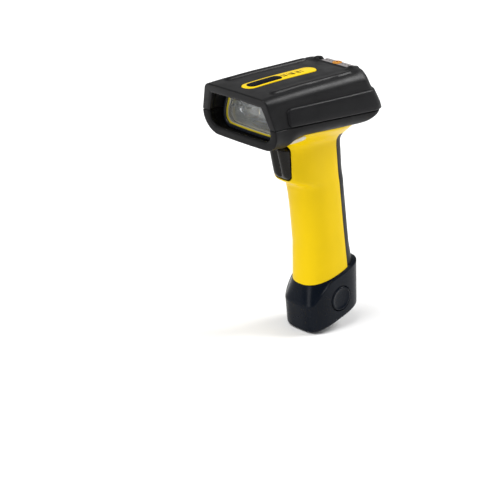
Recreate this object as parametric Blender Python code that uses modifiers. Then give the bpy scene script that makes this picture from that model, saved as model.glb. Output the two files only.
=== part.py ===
"""Cordless handheld barcode scanner: a pistol grip with a hooded scan head.

Every sub-part is drawn in the head frame, in millimetres: x across, y rearward from the
top of the nose, z up from the parting plane of the head. One empty carries that frame to
its place in the world, where the origin is the middle of the object's underside.
"""
import math

import bmesh
import bpy
from mathutils import Matrix, Vector

MM = 0.001
GAP = 0.3

# World place of the head frame: the nose faces -Y and the boot's toe stands on z = 0.
NOSE_Y = -61.43
PARTING_Z = 170.62

# Scan head. Knots are (share of the head's length, millimetres).
HEAD_LENGTH = 116.0
NOSE_TILT = 0.245
NOSE_TOP = 20.5
WALL_HEIGHTS = (3.0, 8.0)
UPRIGHT_AT, UPRIGHT_Y = 0.2, 23.2
BASE_HALF = ((0.0, 37.2), (0.1, 36.2), (0.5, 35.8), (0.8, 35.4), (1.0, 34.8))
TOP_HALF = ((0.0, 30.5), (0.12, 31.0), (0.6, 31.0), (1.0, 29.5))
TOP_HEIGHT = ((0.0, NOSE_TOP), (0.13, 22.4), (0.36, 24.6), (0.62, 26.3), (0.86, 27.6), (1.0, 27.2))
TOP_CROWN = 0.35
HORN = ((0.0, 0.0), (0.84, 0.0), (0.92, 3.1), (1.0, 3.1))
LABEL_TILT = 8.0
KEEL_CROWN = 0.8
SHOULDER = ((0.0, 5.5), (0.15, 7.0), (1.0, 7.5))
KEEL_DEPTH = (
    (0.0, 16.3), (0.14, 16.2), (0.2, 15.9), (0.26, 12.4), (0.31, 10.2), (0.38, 9.2), (0.76, 9.1),
    (0.9, 8.3), (1.0, 5.0)
)
KEEL_RADIUS = ((0.0, 13.0), (0.2, 12.0), (0.35, 8.6), (0.8, 8.6), (1.0, 4.5))
REAR_FACE = (
    (-16.0, 96.0), (-10.0, 104.0), (-6.0, 109.5), (-3.0, 113.0), (0.0, 114.8), (3.0, 115.0),
    (8.0, 112.6), (15.6, 108.2), (20.8, 105.4), (25.6, 103.4), (30.0, 102.4)
)
REAR_CORNER = 11.0
COVER_WALL = 2.6
HOUSING_WALL = 1.8
RIM_INSET = ((-0.1, 6.0), (0.04, 6.0), (0.08, 3.5), (0.18, 3.3), (0.19, COVER_WALL), (1.0, COVER_WALL))
REAR_RECESS_DROP = ((0.0, 0.0), (0.76, 0.0), (0.82, 3.2), (1.0, 3.2))
WINDOW_Y = 23.5

# Grip. Levels are (z, front y, rear y, half width, squareness behind, squareness in front).
GRIP_LEVELS = (
    (-8.4, 24.6, 103.0, 30.2, 2.7, 6.0),
    (-9.8, 24.9, 102.8, 29.8, 2.7, 6.0),
    (-14.0, 29.0, 101.8, 25.6, 2.8, 4.8),
    (-18.5, 37.5, 98.8, 20.8, 2.8, 3.4),
    (-23.0, 44.8, 97.0, 18.0, 2.9, 2.9),
    (-33.0, 47.5, 98.4, 17.2, 3.0, 3.0),
    (-46.0, 49.0, 100.8, 17.1, 2.9, 2.9),
    (-51.5, 51.0, 102.5, 17.1, 2.8, 2.8),
    (-55.5, 59.4, 103.6, 17.1, 2.6, 2.6),
    (-60.0, 61.8, 104.5, 17.1, 2.5, 2.5),
    (-73.0, 64.8, 107.5, 17.1, 2.4, 2.4),
    (-88.0, 67.8, 110.5, 17.1, 2.4, 2.4),
    (-104.0, 70.8, 113.7, 17.3, 2.4, 2.4),
)
SEAM_SLOPE = 0.34
SEAM_MIDDLE_Y = 97.0
SEAM_Z = -125.6
BELLY_DIP = 5.8
RAKE = 0.2
GRIP_WALL = 2.4
BACK_LINE_Y = 84.9
BACK_LINE_Z = -21.8
BATTERY_Y_AT_SEAM = 96.0
GRIP_DOWN = Vector((0, RAKE, -1)).normalized()
FLOOR_NORMAL = Vector((0, -SEAM_SLOPE, 1)).normalized()

# Battery boot.
BOOT_FLOOR_Z = -162.7
BOOT_FRONT, BOOT_REAR, BOOT_HALF = 70.6, 123.0, 19.6
BUTTON_Y, BUTTON_Z, BUTTON_RADIUS, BUTTON_TRAVEL = 98.1, -145.1, 9.2, 2.0

# Trigger.
TRIGGER_HALF = 8.4
TRIGGER_PIVOT = (0.0, 56.0, -26.5)
PLUNGER_Z = -38.5

MIRROR_AXIS_Y = 50.0

PARTS = "barcode_scanner"
CUTTERS = "barcode_scanner_cutters"

MATERIALS = {
    "black_rubber": ((0.035, 0.035, 0.037), 0.0, 0.55),
    "yellow_plastic": ((0.87, 0.66, 0.02), 0.0, 0.4),
    "boot_plastic": ((0.035, 0.04, 0.048), 0.0, 0.42),
    "trigger_plastic": ((0.03, 0.028, 0.026), 0.0, 0.22),
    "black_plastic": ((0.02, 0.02, 0.021), 0.0, 0.5),
    "label_yellow": ((0.9, 0.7, 0.02), 0.0, 0.35),
    "label_navy": ((0.015, 0.02, 0.06), 0.0, 0.35),
    "label_silver": ((0.62, 0.62, 0.62), 0.3, 0.4),
    "amber_lens": ((0.8, 0.38, 0.03), 0.0, 0.12),
    "window_glass": ((0.8, 0.85, 0.85), 0.0, 0.04),
    "mirror_silver": ((0.85, 0.85, 0.84), 1.0, 0.08),
    "steel": ((0.6, 0.6, 0.6), 1.0, 0.3),
    "brass": ((0.75, 0.55, 0.22), 1.0, 0.3),
    "gold": ((0.9, 0.68, 0.25), 1.0, 0.25),
    "copper": ((0.72, 0.36, 0.18), 1.0, 0.4),
    "board_green": ((0.02, 0.16, 0.06), 0.0, 0.45),
    "flex_orange": ((0.65, 0.28, 0.04), 0.0, 0.35),
    "battery_wrap": ((0.05, 0.12, 0.3), 0.0, 0.35),
    "seal_rubber": ((0.02, 0.02, 0.02), 0.0, 0.8),
    "cast_metal": ((0.45, 0.46, 0.47), 1.0, 0.5),
}


# ---------------------------------------------------------------- scene helpers

def clear_scene():
    for thing in list(bpy.data.objects):
        bpy.data.objects.remove(thing, do_unlink=True)


def collection(name):
    made = bpy.data.collections.new(name)
    bpy.context.scene.collection.children.link(made)
    return made


def material(name):
    found = bpy.data.materials.get(name)
    if found:
        return found
    colour, metallic, roughness = MATERIALS[name]
    made = bpy.data.materials.new(name)
    made.use_nodes = True
    shader = made.node_tree.nodes["Principled BSDF"]
    shader.inputs["Base Color"].default_value = (*colour, 1.0)
    shader.inputs["Metallic"].default_value = metallic
    shader.inputs["Roughness"].default_value = roughness
    return made


def empty(name, x, y, z, parent=None):
    """An axis or frame marker; x, y, z are in the head frame once there is one."""
    made = bpy.data.objects.new(name, None)
    made.empty_display_size = 0.01
    made.location = Vector((x, y, z)) * MM
    made.parent = parent
    bpy.data.collections[PARTS].objects.link(made)
    return made


def add(name, mesh, surface, parent=None, cutter=False):
    """Put a mesh drawn in the head frame into the scene, hung from the frame or an axis."""
    made = bpy.data.objects.new(name, mesh)
    frame = bpy.data.objects["head_frame"]
    made.parent = parent or frame
    if parent:
        made.matrix_parent_inverse = Matrix.Translation(-parent.location)
    if cutter:
        made.hide_render = True
        made.display_type = "WIRE"
        bpy.data.collections[CUTTERS].objects.link(made)
    else:
        mesh.materials.append(material(surface))
        bpy.data.collections[PARTS].objects.link(made)
    return made


def soften(thing, angle=35.0):
    thing.data.shade_smooth()
    thing.data.set_sharp_from_angle(angle=math.radians(angle))
    return thing


def cut(thing, cutter, operation="DIFFERENCE"):
    made = thing.modifiers.new(operation.lower() + "_" + cutter.name, "BOOLEAN")
    made.operation = operation
    made.object = cutter
    made.solver = "EXACT"
    return thing


def rounded(thing, width, segments=2, angle=40.0):
    made = thing.modifiers.new("rounded_edges", "BEVEL")
    made.width = width * MM
    made.segments = segments
    made.limit_method = "ANGLE"
    made.angle_limit = math.radians(angle)
    return thing


# ---------------------------------------------------------------- mesh makers

def mesh_of(name, points, faces):
    mesh = bpy.data.meshes.new(name)
    mesh.from_pydata([Vector(p) * MM for p in points], [], faces)
    return outward(mesh)


def outward(mesh):
    work = bmesh.new()
    work.from_mesh(mesh)
    bmesh.ops.recalc_face_normals(work, faces=work.faces)
    work.to_mesh(mesh)
    work.free()
    return mesh


def loft(name, rings, mirrored_caps=False):
    """A closed solid through rings of equal length; the rings are closed curves.

    mirrored_caps closes an end with strips between point i and its mirror image, which
    keeps a cap flat across x; otherwise the end is a fan round its middle.
    """
    count = len(rings[0])
    points = [p for ring in rings for p in ring]
    faces = []
    for r in range(len(rings) - 1):
        for i in range(count):
            j = (i + 1) % count
            faces.append((r * count + i, r * count + j, (r + 1) * count + j, (r + 1) * count + i))
    for base in (0, (len(rings) - 1) * count):
        if mirrored_caps:
            half = (count - 1) // 2
            for i in range(half - 1):
                faces.append((base + i, base + i + 1, base + count - 2 - i, base + count - 1 - i))
            faces.append((base + half - 1, base + half, base + half + 1))
        else:
            ring = points[base:base + count]
            points.append(tuple(sum(p[k] for p in ring) / count for k in range(3)))
            middle = len(points) - 1
            for i in range(count):
                faces.append((base + i, base + (i + 1) % count, middle))
    return mesh_of(name, points, faces)


def box(name, size, centre, tilt=0.0):
    """A box; tilt turns it about X, in degrees."""
    work = bmesh.new()
    bmesh.ops.create_cube(work, size=1.0)
    bmesh.ops.scale(work, vec=Vector(size) * MM, verts=work.verts)
    bmesh.ops.rotate(work, matrix=Matrix.Rotation(math.radians(tilt), 3, "X"), verts=work.verts)
    bmesh.ops.translate(work, vec=Vector(centre) * MM, verts=work.verts)
    mesh = bpy.data.meshes.new(name)
    work.to_mesh(mesh)
    work.free()
    return mesh


def cone(name, radius, tip_radius, length, centre, axis=(0, 0, 1), steps=20):
    """A cylinder or frustum along axis; tip_radius is at the far end of the axis."""
    work = bmesh.new()
    bmesh.ops.create_cone(
        work, cap_ends=True, segments=steps, radius1=radius * MM, radius2=tip_radius * MM,
        depth=length * MM
    )
    turn = Vector((0, 0, 1)).rotation_difference(Vector(axis)).to_matrix()
    bmesh.ops.rotate(work, matrix=turn, verts=work.verts)
    bmesh.ops.translate(work, vec=Vector(centre) * MM, verts=work.verts)
    mesh = bpy.data.meshes.new(name)
    work.to_mesh(mesh)
    work.free()
    return mesh


def turned(name, profile, surface, centre, axis=(0, 0, 1), steps=20, parent=None):
    """A body of revolution: profile is (radius, height) from the top down the outside. It
    starts and ends on the axis, or comes back to its start for a tube."""
    mesh = bpy.data.meshes.new(name)
    tube = profile[0][0] > 0
    edges = [(i, i + 1) for i in range(len(profile) - 1)] + [(len(profile) - 1, 0)] * tube
    mesh.from_pydata([(r * MM, 0, h * MM) for r, h in profile], edges, [])
    made = add(name, mesh, surface, parent)
    made.location = Vector(centre) * MM
    made.rotation_mode = "QUATERNION"
    made.rotation_quaternion = Vector((0, 0, 1)).rotation_difference(Vector(axis))
    spin = made.modifiers.new("turned", "SCREW")
    spin.axis = "Z"
    spin.steps = spin.render_steps = steps
    spin.use_merge_vertices = True
    spin.merge_threshold = 0.00001
    return made


def tube_profile(outer, inner, length):
    return [(outer, length / 2), (outer, -length / 2), (inner, -length / 2), (inner, length / 2)]


def wire(name, route, radius, surface, parent=None):
    """A round wire through the route's points, as a curve with filled caps."""
    curve = bpy.data.curves.new(name, "CURVE")
    curve.dimensions = "3D"
    curve.bevel_depth = radius * MM
    curve.bevel_resolution = 1
    curve.use_fill_caps = True
    line = curve.splines.new("POLY")
    line.points.add(len(route) - 1)
    for point, place in zip(line.points, route):
        point.co = (*(Vector(place) * MM), 1.0)
    return add(name, curve, surface, parent)


def coil_route(radius, length, turns, centre, axis, steps=9):
    """Points of a compression coil centred on centre, wound along axis."""
    turn = Vector((0, 0, 1)).rotation_difference(Vector(axis)).to_matrix()
    count = int(turns * steps)
    route = []
    for i in range(count + 1):
        a = 2 * math.pi * i / steps
        along = length * (i / count - 0.5)
        route.append(turn @ Vector((radius * math.cos(a), radius * math.sin(a), along)) + Vector(centre))
    return route


def circle(steps):
    return [2 * math.pi * i / steps for i in range(steps)]


# ---------------------------------------------------------------- form of the head

def through(knots, at):
    """A smooth value through (place, value) knots, held flat past both ends."""
    if at <= knots[0][0]:
        return knots[0][1]
    if at >= knots[-1][0]:
        return knots[-1][1]
    k = max(i for i in range(len(knots) - 1) if knots[i][0] <= at)

    def lean(i):
        low, high = max(i - 1, 0), min(i + 1, len(knots) - 1)
        return (knots[high][1] - knots[low][1]) / (knots[high][0] - knots[low][0])

    (a, start), (b, end) = knots[k], knots[k + 1]
    span = b - a
    s = (at - a) / span
    return (
        (2 * s**3 - 3 * s**2 + 1) * start
        + (s**3 - 2 * s**2 + s) * span * lean(k)
        + (3 * s**2 - 2 * s**3) * end
        + (s**3 - s**2) * span * lean(k + 1)
    )


def round_corner(before, corner, after, radius, steps):
    """Points of the arc that rounds the corner between two straight walls."""
    c = Vector(corner)
    u = (Vector(before) - c).normalized()
    v = (Vector(after) - c).normalized()
    half = u.angle(v) / 2
    reach = radius / math.tan(half)
    middle = c + (u + v).normalized() * radius / math.sin(half)
    start = c + u * reach - middle
    end = c + v * reach - middle
    sweep = start.angle(end)
    points = []
    for i in range(steps + 1):
        s = i / steps
        mixed = (start * math.sin((1 - s) * sweep) + end * math.sin(s * sweep)) / math.sin(sweep)
        points.append(middle + mixed)
    return points


def plan_scale(t, inset):
    """How the head narrows round its rear corners in plan."""
    half = through(BASE_HALF, t)
    past = max(0.0, t * HEAD_LENGTH - (HEAD_LENGTH - REAR_CORNER))
    radius = REAR_CORNER - inset
    past *= radius / REAR_CORNER
    return (half - REAR_CORNER + math.sqrt(max(radius**2 - past**2, 0.0))) / (half - inset)


def head_y(t, z, inset=0.0):
    """Depth of a section: it leans back at the nose, is upright at the window, then leans
    with the rear face."""
    if t < UPRIGHT_AT:
        front = NOSE_TILT * (NOSE_TOP - z)
        return front + (UPRIGHT_Y - front) * t / UPRIGHT_AT
    rear = through(REAR_FACE, z) - inset
    return UPRIGHT_Y + (rear - UPRIGHT_Y) * (t - UPRIGHT_AT) / (1 - UPRIGHT_AT)


def upper_ring(t, inset, base_z, drop=0.0, steps=4):
    """The head's section above the parting plane, from the right wall over to the left."""
    base = through(BASE_HALF, t) - inset
    top = through(TOP_HALF, t) - inset * 0.85
    height = through(TOP_HEIGHT, t) - inset - drop
    radius = max(through(SHOULDER, t) - inset, 1.2)
    right = [Vector((base + (top - base) * z / height, z)) for z in (base_z, *WALL_HEIGHTS)]
    right += round_corner((base, 0), (top, height), (0, height), radius, steps)
    right += [Vector((x, height)) for x in (18.0, 12.5, 0.0)]
    for p in right:
        beside = min(1.0, max(0.0, (p.x - 13.0) / 4.5))
        rise = TOP_CROWN + through(HORN, t) * beside
        p.y += rise * max(0.0, 1 - (p.x / top) ** 2) * max(p.y, 0) / height
    ring = right + [Vector((-p.x, p.y)) for p in reversed(right[:-1])]
    scale = plan_scale(t, inset)
    return [(p.x * scale, head_y(t, p.y, inset), p.y) for p in ring]


def lower_ring(t, inset, base_z, steps=4):
    """The head's section below the parting plane, from the right wall under to the left."""
    base = through(BASE_HALF, t) - inset
    depth = through(KEEL_DEPTH, t) - inset
    radius = min(max(through(KEEL_RADIUS, t) - inset, 1.0), depth - 0.4)
    right = [Vector((base, base_z))]
    right += round_corner((base, 0), (base, -depth), (0, -depth), radius, steps)
    right += [Vector((base * 0.5 - 4, -depth)), Vector((0, -depth))]
    for p in right:
        p.y -= KEEL_CROWN * (1 - (p.x / base) ** 2) * max(-p.y, 0) / depth
    ring = right + [Vector((-p.x, p.y)) for p in reversed(right[:-1])]
    scale = plan_scale(t, inset)
    return [(p.x * scale, head_y(t, p.y, inset), p.y) for p in ring]


def head_stations(start, end, plain):
    """Shares of the head's length from start to end, closer together round the rear corner."""
    bend = 1 - REAR_CORNER / HEAD_LENGTH
    body = [start + (bend - start) * i / plain for i in range(plain + 1)]
    corner = [bend + (end - bend) * math.sin(math.radians(a)) for a in (28, 52, 72, 90)]
    return body + corner


OUTER_STATIONS = [0.0] + head_stations(0.07, 1.0, 7)
INNER_STATIONS = [UPRIGHT_AT] + head_stations(0.3, 1.0, 5)


def head_solid(name, ring, inset, base_z, stations):
    return loft(name, [ring(t, inset, base_z) for t in stations], mirrored_caps=True)


def cavity(name, ring, base_z, extra=0.0):
    """The hollow inside a head cover: the hood in front, then an even wall."""
    rings = []
    for t in [-0.05, 0.035, 0.085, 0.17] + INNER_STATIONS:
        inset = through(RIM_INSET, t) + extra
        if ring is upper_ring:
            rings.append(ring(t, inset, base_z, through(REAR_RECESS_DROP, t)))
        else:
            rings.append(ring(t, inset, base_z))
    return loft(name, rings, mirrored_caps=True)


# ---------------------------------------------------------------- form of the grip and boot

def oval(front, rear, half, power, z, slope=0.0, dip=0.0, count=26, front_power=None):
    """A closed ring, round with flattened sides; slope lifts it rearward, dip lowers its front."""
    rear_power = power
    middle, depth = (front + rear) / 2, (rear - front) / 2
    ring = []
    for a in circle(count):
        c, s = math.cos(a), math.sin(a)
        power = front_power if front_power and s < 0 else rear_power
        x = half * math.copysign(abs(c) ** (2 / power), c)
        y = middle + depth * math.copysign(abs(s) ** (2 / power), s)
        lowered = dip * max(0.0, min(1.0, (41.0 - y) / 16.0)) ** 1.4
        ring.append((x, y, z + slope * (y - SEAM_MIDDLE_Y) - lowered))
    return ring


def grip_level(level, inset=0.0):
    z, front, rear, half, power, front_power = level
    dip = BELLY_DIP * max(0.0, 1 - (GRIP_LEVELS[0][0] - z) / 11.0)
    return oval(front + inset, rear - inset, half - inset, power, z, dip=dip, front_power=front_power)


def grip_rings(inset=0.0):
    rings = [grip_level(level, inset) for level in GRIP_LEVELS]
    foot = (73.0 + inset, 118.6 - inset, 17.5 - inset, 2.4)
    rings.append(oval(72.5 + inset, 116.5 - inset, 17.4 - inset, 2.4, SEAM_Z + 9.0, slope=SEAM_SLOPE * 0.5))
    rings.append(oval(*foot, SEAM_Z + GAP / 2, slope=SEAM_SLOPE))
    return rings


def boot_rings(inset=0.0, floor=0.0, lift=0.0):
    """The boot: flared out of the grip's outline in front, straight below."""
    front, rear, half = BOOT_FRONT + inset, BOOT_REAR - inset, BOOT_HALF - inset
    foot = (73.0 + inset, 118.8 - inset, 17.7 - inset)
    return [
        oval(*foot, 2.5, SEAM_Z - GAP / 2 + lift, slope=SEAM_SLOPE),
        oval(front + 1.6, rear - 2.2, half - 0.9, 2.8, SEAM_Z - 7.0, slope=SEAM_SLOPE * 1.35),
        oval(front, rear - 0.6, half, 3.1, SEAM_Z - 14.6, slope=SEAM_SLOPE),
        oval(front + 0.4, rear, half, 3.1, BOOT_FLOOR_Z + 9.0, slope=SEAM_SLOPE),
        oval(front + 1.0, rear - 1.0, half - 0.3, 3.1, BOOT_FLOOR_Z + 2.2 + floor, slope=SEAM_SLOPE),
        oval(front + 3.0, rear - 4.0, half - 2.4, 3.1, BOOT_FLOOR_Z + floor, slope=SEAM_SLOPE),
    ]


def rear_slab(name, shift, top, bottom=-140.0):
    """Everything behind the line where the back cover meets the grip."""
    def line(z):
        return BACK_LINE_Y + RAKE * 1.03 * (BACK_LINE_Z - z) + shift
    rings = []
    for z in (top, bottom):
        rings.append([(-40, line(z), z), (40, line(z), z), (40, line(z) + 60, z), (-40, line(z) + 60, z)])
    return add(name, loft(name, rings), None, cutter=True)


def grip_axis_point(z):
    """The battery's line down the grip, in the head frame."""
    return (0.0, BATTERY_Y_AT_SEAM - RAKE * (z - SEAM_Z), z)


# ---------------------------------------------------------------- head covers and housings

def make_head():
    shell = head_solid("top_overmold", upper_ring, 0.0, GAP / 2, OUTER_STATIONS)
    top = add("top_overmold", shell, "black_rubber")
    cut(top, add("cut_top_hollow", cavity("cut_top_hollow", upper_ring, -1.0), None, cutter=True))
    recess = box("cut_top_recess", (34.4, 30, 10), (0, 109.3, 33.2), LABEL_TILT)
    recess = add("cut_top_recess", recess, None, cutter=True)
    cut(top, rounded(recess, 4.0, 3))
    for name, x in (("rib_right", 23.2), ("rib_left", -23.2)):
        cut(top, rib(name, x), "UNION")
    plate = add("cut_plate_seat", stadium("cut_plate_seat", 6.1, 14.6, 69.4, -0.6, 4.0), None, cutter=True)
    soften(cut(top, plate), 30)

    shell = head_solid("lower_overmold", lower_ring, 0.0, -GAP / 2, OUTER_STATIONS)
    low = add("lower_overmold", shell, "black_rubber")
    cut(low, add("cut_lower_hollow", cavity("cut_lower_hollow", lower_ring, 1.0), None, cutter=True))
    level = GRIP_LEVELS[0]
    belly = [[(x, y, z + shift) for x, y, z in grip_level(level, -GAP)] for shift in (-14.0, 6.2)]
    cut(low, add("cut_belly", loft("cut_belly", belly), None, cutter=True))
    soften(low, 30)

    upper = head_solid("upper_housing", upper_housing_ring, COVER_WALL + GAP, GAP / 2, INNER_STATIONS)
    housing = add("upper_housing", upper, "yellow_plastic")
    hollow = cavity("cut_housing_hollow", upper_ring, -1.0, GAP + HOUSING_WALL)
    cut(housing, add("cut_housing_hollow", hollow, None, cutter=True))
    seat = loft("cut_window_seat", [window_outline(4.7, y) for y in (20.0, 29.0)])
    seat = add("cut_window_seat", seat, None, cutter=True)
    cut(housing, seat)
    soften(housing, 30)

    tray = head_solid("lower_housing", lower_ring, COVER_WALL + GAP, -GAP / 2, INNER_STATIONS)
    tray = add("lower_housing", tray, "yellow_plastic")
    hollow = cavity("cut_tray_hollow", lower_ring, 1.0, GAP + HOUSING_WALL)
    cut(tray, add("cut_tray_hollow", hollow, None, cutter=True))
    mouth = [oval(30.0, 90.0, 24.0, 2.9, z) for z in (-25.0, -2.0)]
    cut(tray, add("cut_tray_mouth", loft("cut_tray_mouth", mouth), None, cutter=True))
    cut(tray, seat)
    soften(tray, 30)


def upper_housing_ring(t, inset, base_z):
    return upper_ring(t, inset, base_z, through(REAR_RECESS_DROP, t))


def stadium(name, radius, start, end, low, high):
    """A plate with round ends that follows the sloping top of the head."""
    turn = [math.radians(a) for a in (8, 30, 52, 74, 90)]
    rows = [(start - radius * math.cos(a), radius * math.sin(a)) for a in turn]
    rows += [(start + (end - start) * k / 6, radius) for k in range(1, 6)]
    rows += [(end + radius * math.cos(a), radius * math.sin(a)) for a in reversed(turn)]
    rings = []
    for y, half in rows:
        z = top_z(y)
        rings.append([(-half, y, z + low), (half, y, z + low), (half, y, z + high), (-half, y, z + high)])
    return loft(name, rings)


def top_z(y):
    """Height of the head's flat top at x, y."""
    t = UPRIGHT_AT + (y - UPRIGHT_Y) * (1 - UPRIGHT_AT) / (through(REAR_FACE, 27.0) - UPRIGHT_Y)
    return through(TOP_HEIGHT, t) + TOP_CROWN


def rib(name, x):
    """A low bead along the top of the head."""
    rings = []
    sizes = [(14.0, 0.3)] + [(y, 1.0) for y in (15.2, 30, 45, 60, 75, 85.4)] + [(86.6, 0.3)]
    for y, size in sizes:
        section = ((-1.3, -0.9), (1.3, -0.9), (1.2, 0.0), (0.7, 0.55), (-0.7, 0.55), (-1.2, 0.0))
        rings.append([(x + a * size, y, top_z(y) + b * (size if b > 0 else 1)) for a, b in section])
    return add(name, loft(name, rings), None, cutter=True)


def bumper_ring(path, z_low, z_high, near, far):
    """One section of the side bumper: a strip of wall between two offsets from the head."""
    side, t, across = path
    heights = (z_low, max(z_low + 0.5, WALL_HEIGHTS[0]), WALL_HEIGHTS[1], z_high)
    ring = []
    for z, offset in [(z, far) for z in heights] + [(z, near) for z in reversed(heights)]:
        base = through(BASE_HALF, t)
        top = through(TOP_HALF, t)
        wall = base + (top - base) * z / through(TOP_HEIGHT, t)
        scale = plan_scale(t, 0.0)
        x = side * (wall * scale * across)
        y = head_y(t, z)
        lean = min(1.0, max(0.0, (t * HEAD_LENGTH - HEAD_LENGTH + REAR_CORNER) / REAR_CORNER))
        ring.append((x + side * offset * math.sqrt(1 - lean**2), y + offset * lean, z))
    return ring


def make_bumper():
    """A U-shaped pad along both sides and round the rear."""
    stations = [(t, 1.0) for t in [0.15, 0.154, 0.166] + head_stations(0.19, 1.0, 6)]
    stations += [(1.0, 0.6), (1.0, 0.25)]
    rings = []
    for side, order in ((1, stations), (-1, reversed(stations))):
        for t, across in order:
            short = 1 - math.sqrt(1 - min(1.0, max(0.0, (0.19 - t) / 0.04)) ** 2)
            low = 0.9 + 3.6 * short
            high = 12.6 + 3.0 * t - 3.0 * short
            rings.append(bumper_ring((side, t, across), low, high, GAP, 1.3))
    soften(add("side_bumper", loft("side_bumper", rings), "black_rubber"), 40)


def make_labels():
    add("name_plate", stadium("name_plate", 5.8, 14.6, 69.4, -0.3, 0.25), "label_yellow")
    add("name_plate_inlay", stadium("name_plate_inlay", 3.6, 17.0, 38.0, 0.55, 0.75), "label_navy")
    label = box("indicator_label", (27.0, 5.8, 0.5), (-1.0, 99.9, 28.05), LABEL_TILT)
    label = rounded(add("indicator_label", label, "label_silver"), 1.0, 2)
    up = Vector((0, -math.sin(math.radians(LABEL_TILT)), math.cos(math.radians(LABEL_TILT))))
    seat = Vector((-1.6, 99.9, 28.25))
    hole = cone("cut_lens_seat", 2.6, 2.6, 6, seat, up, 24)
    cut(label, add("cut_lens_seat", hole, None, cutter=True))
    lens = [(0, 0.9), (1.2, 0.8), (1.9, 0.5), (2.3, 0.0), (2.3, -0.4), (0, -0.4)]
    turned("indicator_lens", lens, "amber_lens", seat, up, 24)
    add("rating_label", flare_patch("rating_label", 20, 24, 0.15, 0.9, 0.95, 1.2), "label_silver")


def flare_patch(name, first, last, high, low, near, far):
    """A thin patch that lies on the front of the grip's flare, between two levels of it."""
    sheets = []
    for lift in (near, far):
        upper, lower = (grip_level(level, -lift)[first:last + 1] for level in GRIP_LEVELS[1:3])
        for share in (high, low):
            sheets.append([Vector(a).lerp(Vector(b), share) for a, b in zip(upper, lower)])
    high_near, low_near, high_far, low_far = sheets
    rings = [list(corner) for corner in zip(high_near, high_far, low_far, low_near)]
    return loft(name, rings)


def window_outline(inset, y):
    """The closed outline of the scan window's seat at depth y."""
    upper = upper_ring(UPRIGHT_AT, inset, 0.0)
    lower = lower_ring(UPRIGHT_AT, inset, 0.0)
    ring = [(x, z) for x, _, z in upper] + [(x, z) for x, _, z in reversed(lower[1:-1])]
    return [(x, y, z) for x, z in ring]


def frame_body(name, outer, inner, y_front, y_rear):
    """A flat ring that follows the window's outline."""
    rings = [
        window_outline(inner, y_front), window_outline(outer, y_front),
        window_outline(outer, y_rear), window_outline(inner, y_rear),
    ]
    count = len(rings[0])
    points = [p for ring in rings for p in ring]
    faces = []
    for r in range(4):
        n = (r + 1) % 4
        for i in range(count):
            j = (i + 1) % count
            faces.append((r * count + i, r * count + j, n * count + j, n * count + i))
    return mesh_of(name, points, faces)


def make_window():
    glass = loft("scan_window", [window_outline(5.4, y) for y in (WINDOW_Y + 1.6, WINDOW_Y + 3.4)])
    add("scan_window", glass, "window_glass")
    add("window_bezel", frame_body("window_bezel", 3.62, 5.6, 20.2, 21.4), "black_plastic")
    add("window_frame", frame_body("window_frame", 5.0, 6.4, 21.7, 24.0), "yellow_plastic")
    add("window_gasket", frame_body("window_gasket", 5.4, 7.0, 27.3, 28.5), "seal_rubber")


# ---------------------------------------------------------------- grip, back cover and boot

def make_grip():
    grip = add("handle_housing", loft("handle_housing", grip_rings()), "yellow_plastic")
    inner = [oval(f + GRIP_WALL, r - GRIP_WALL, h - GRIP_WALL, p, z)
             for z, f, r, h, p, _ in GRIP_LEVELS[4:]]
    inner.insert(0, oval(30.0, 90.0, 24.0, 2.9, -6.0))
    inner.append(oval(75.4, 116.2, 15.1, 2.4, -140.0))
    hollow = loft("cut_grip_hollow", inner)
    hollow = add("cut_grip_hollow", hollow, None, cutter=True)
    cut(grip, hollow)
    cut(grip, rear_slab("cut_back_opening", -GAP, -17.0))
    slot = box("cut_trigger_slot", (2 * TRIGGER_HALF + 1.2, 24.0, 27.4), (0, 50.0, -36.5))
    cut(grip, rounded(add("cut_trigger_slot", slot, None, cutter=True), 4.2, 4))
    soften(grip, 40)

    back = add("handle_back_cover", loft("handle_back_cover", grip_rings()), "black_rubber")
    cut(back, rear_slab("keep_back_cover", 0.0, -17.0 - GAP), "INTERSECT")
    cut(back, hollow)
    soften(back, 40)


def make_boot(battery_axis):
    boot = add("battery_boot", loft("battery_boot", boot_rings()), "boot_plastic", battery_axis)
    inner = boot_rings(2.4, 2.4, 2.0)
    hollow = add("cut_boot_hollow", loft("cut_boot_hollow", inner), None, battery_axis, cutter=True)
    cut(boot, hollow)
    hole = cone("cut_button_holes", BUTTON_RADIUS + 0.7, BUTTON_RADIUS + 0.7, 60,
                (0, BUTTON_Y, BUTTON_Z), (1, 0, 0), 28)
    cut(boot, add("cut_button_holes", hole, None, battery_axis, cutter=True))
    for number, x in enumerate((-7.5, -2.5, 2.5, 7.5)):
        seat = cone(f"cut_contact_{number}", 1.6, 1.6, 8, charge_contact_place(x), FLOOR_NORMAL, 12)
        cut(boot, add(f"cut_contact_{number}", seat, None, battery_axis, cutter=True))
        pad = [(0, 2.8), (1.2, 2.8), (1.2, -1.1), (0, -1.1)]
        turned(f"charge_contact_{number + 1}", pad, "gold", charge_contact_place(x), FLOOR_NORMAL, 12,
               battery_axis)
    soften(boot, 32)


def charge_contact_place(x):
    y = 106.0
    return Vector((x, y, BOOT_FLOOR_Z + SEAM_SLOPE * (y - SEAM_MIDDLE_Y))) + FLOOR_NORMAL * 1.3


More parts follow.
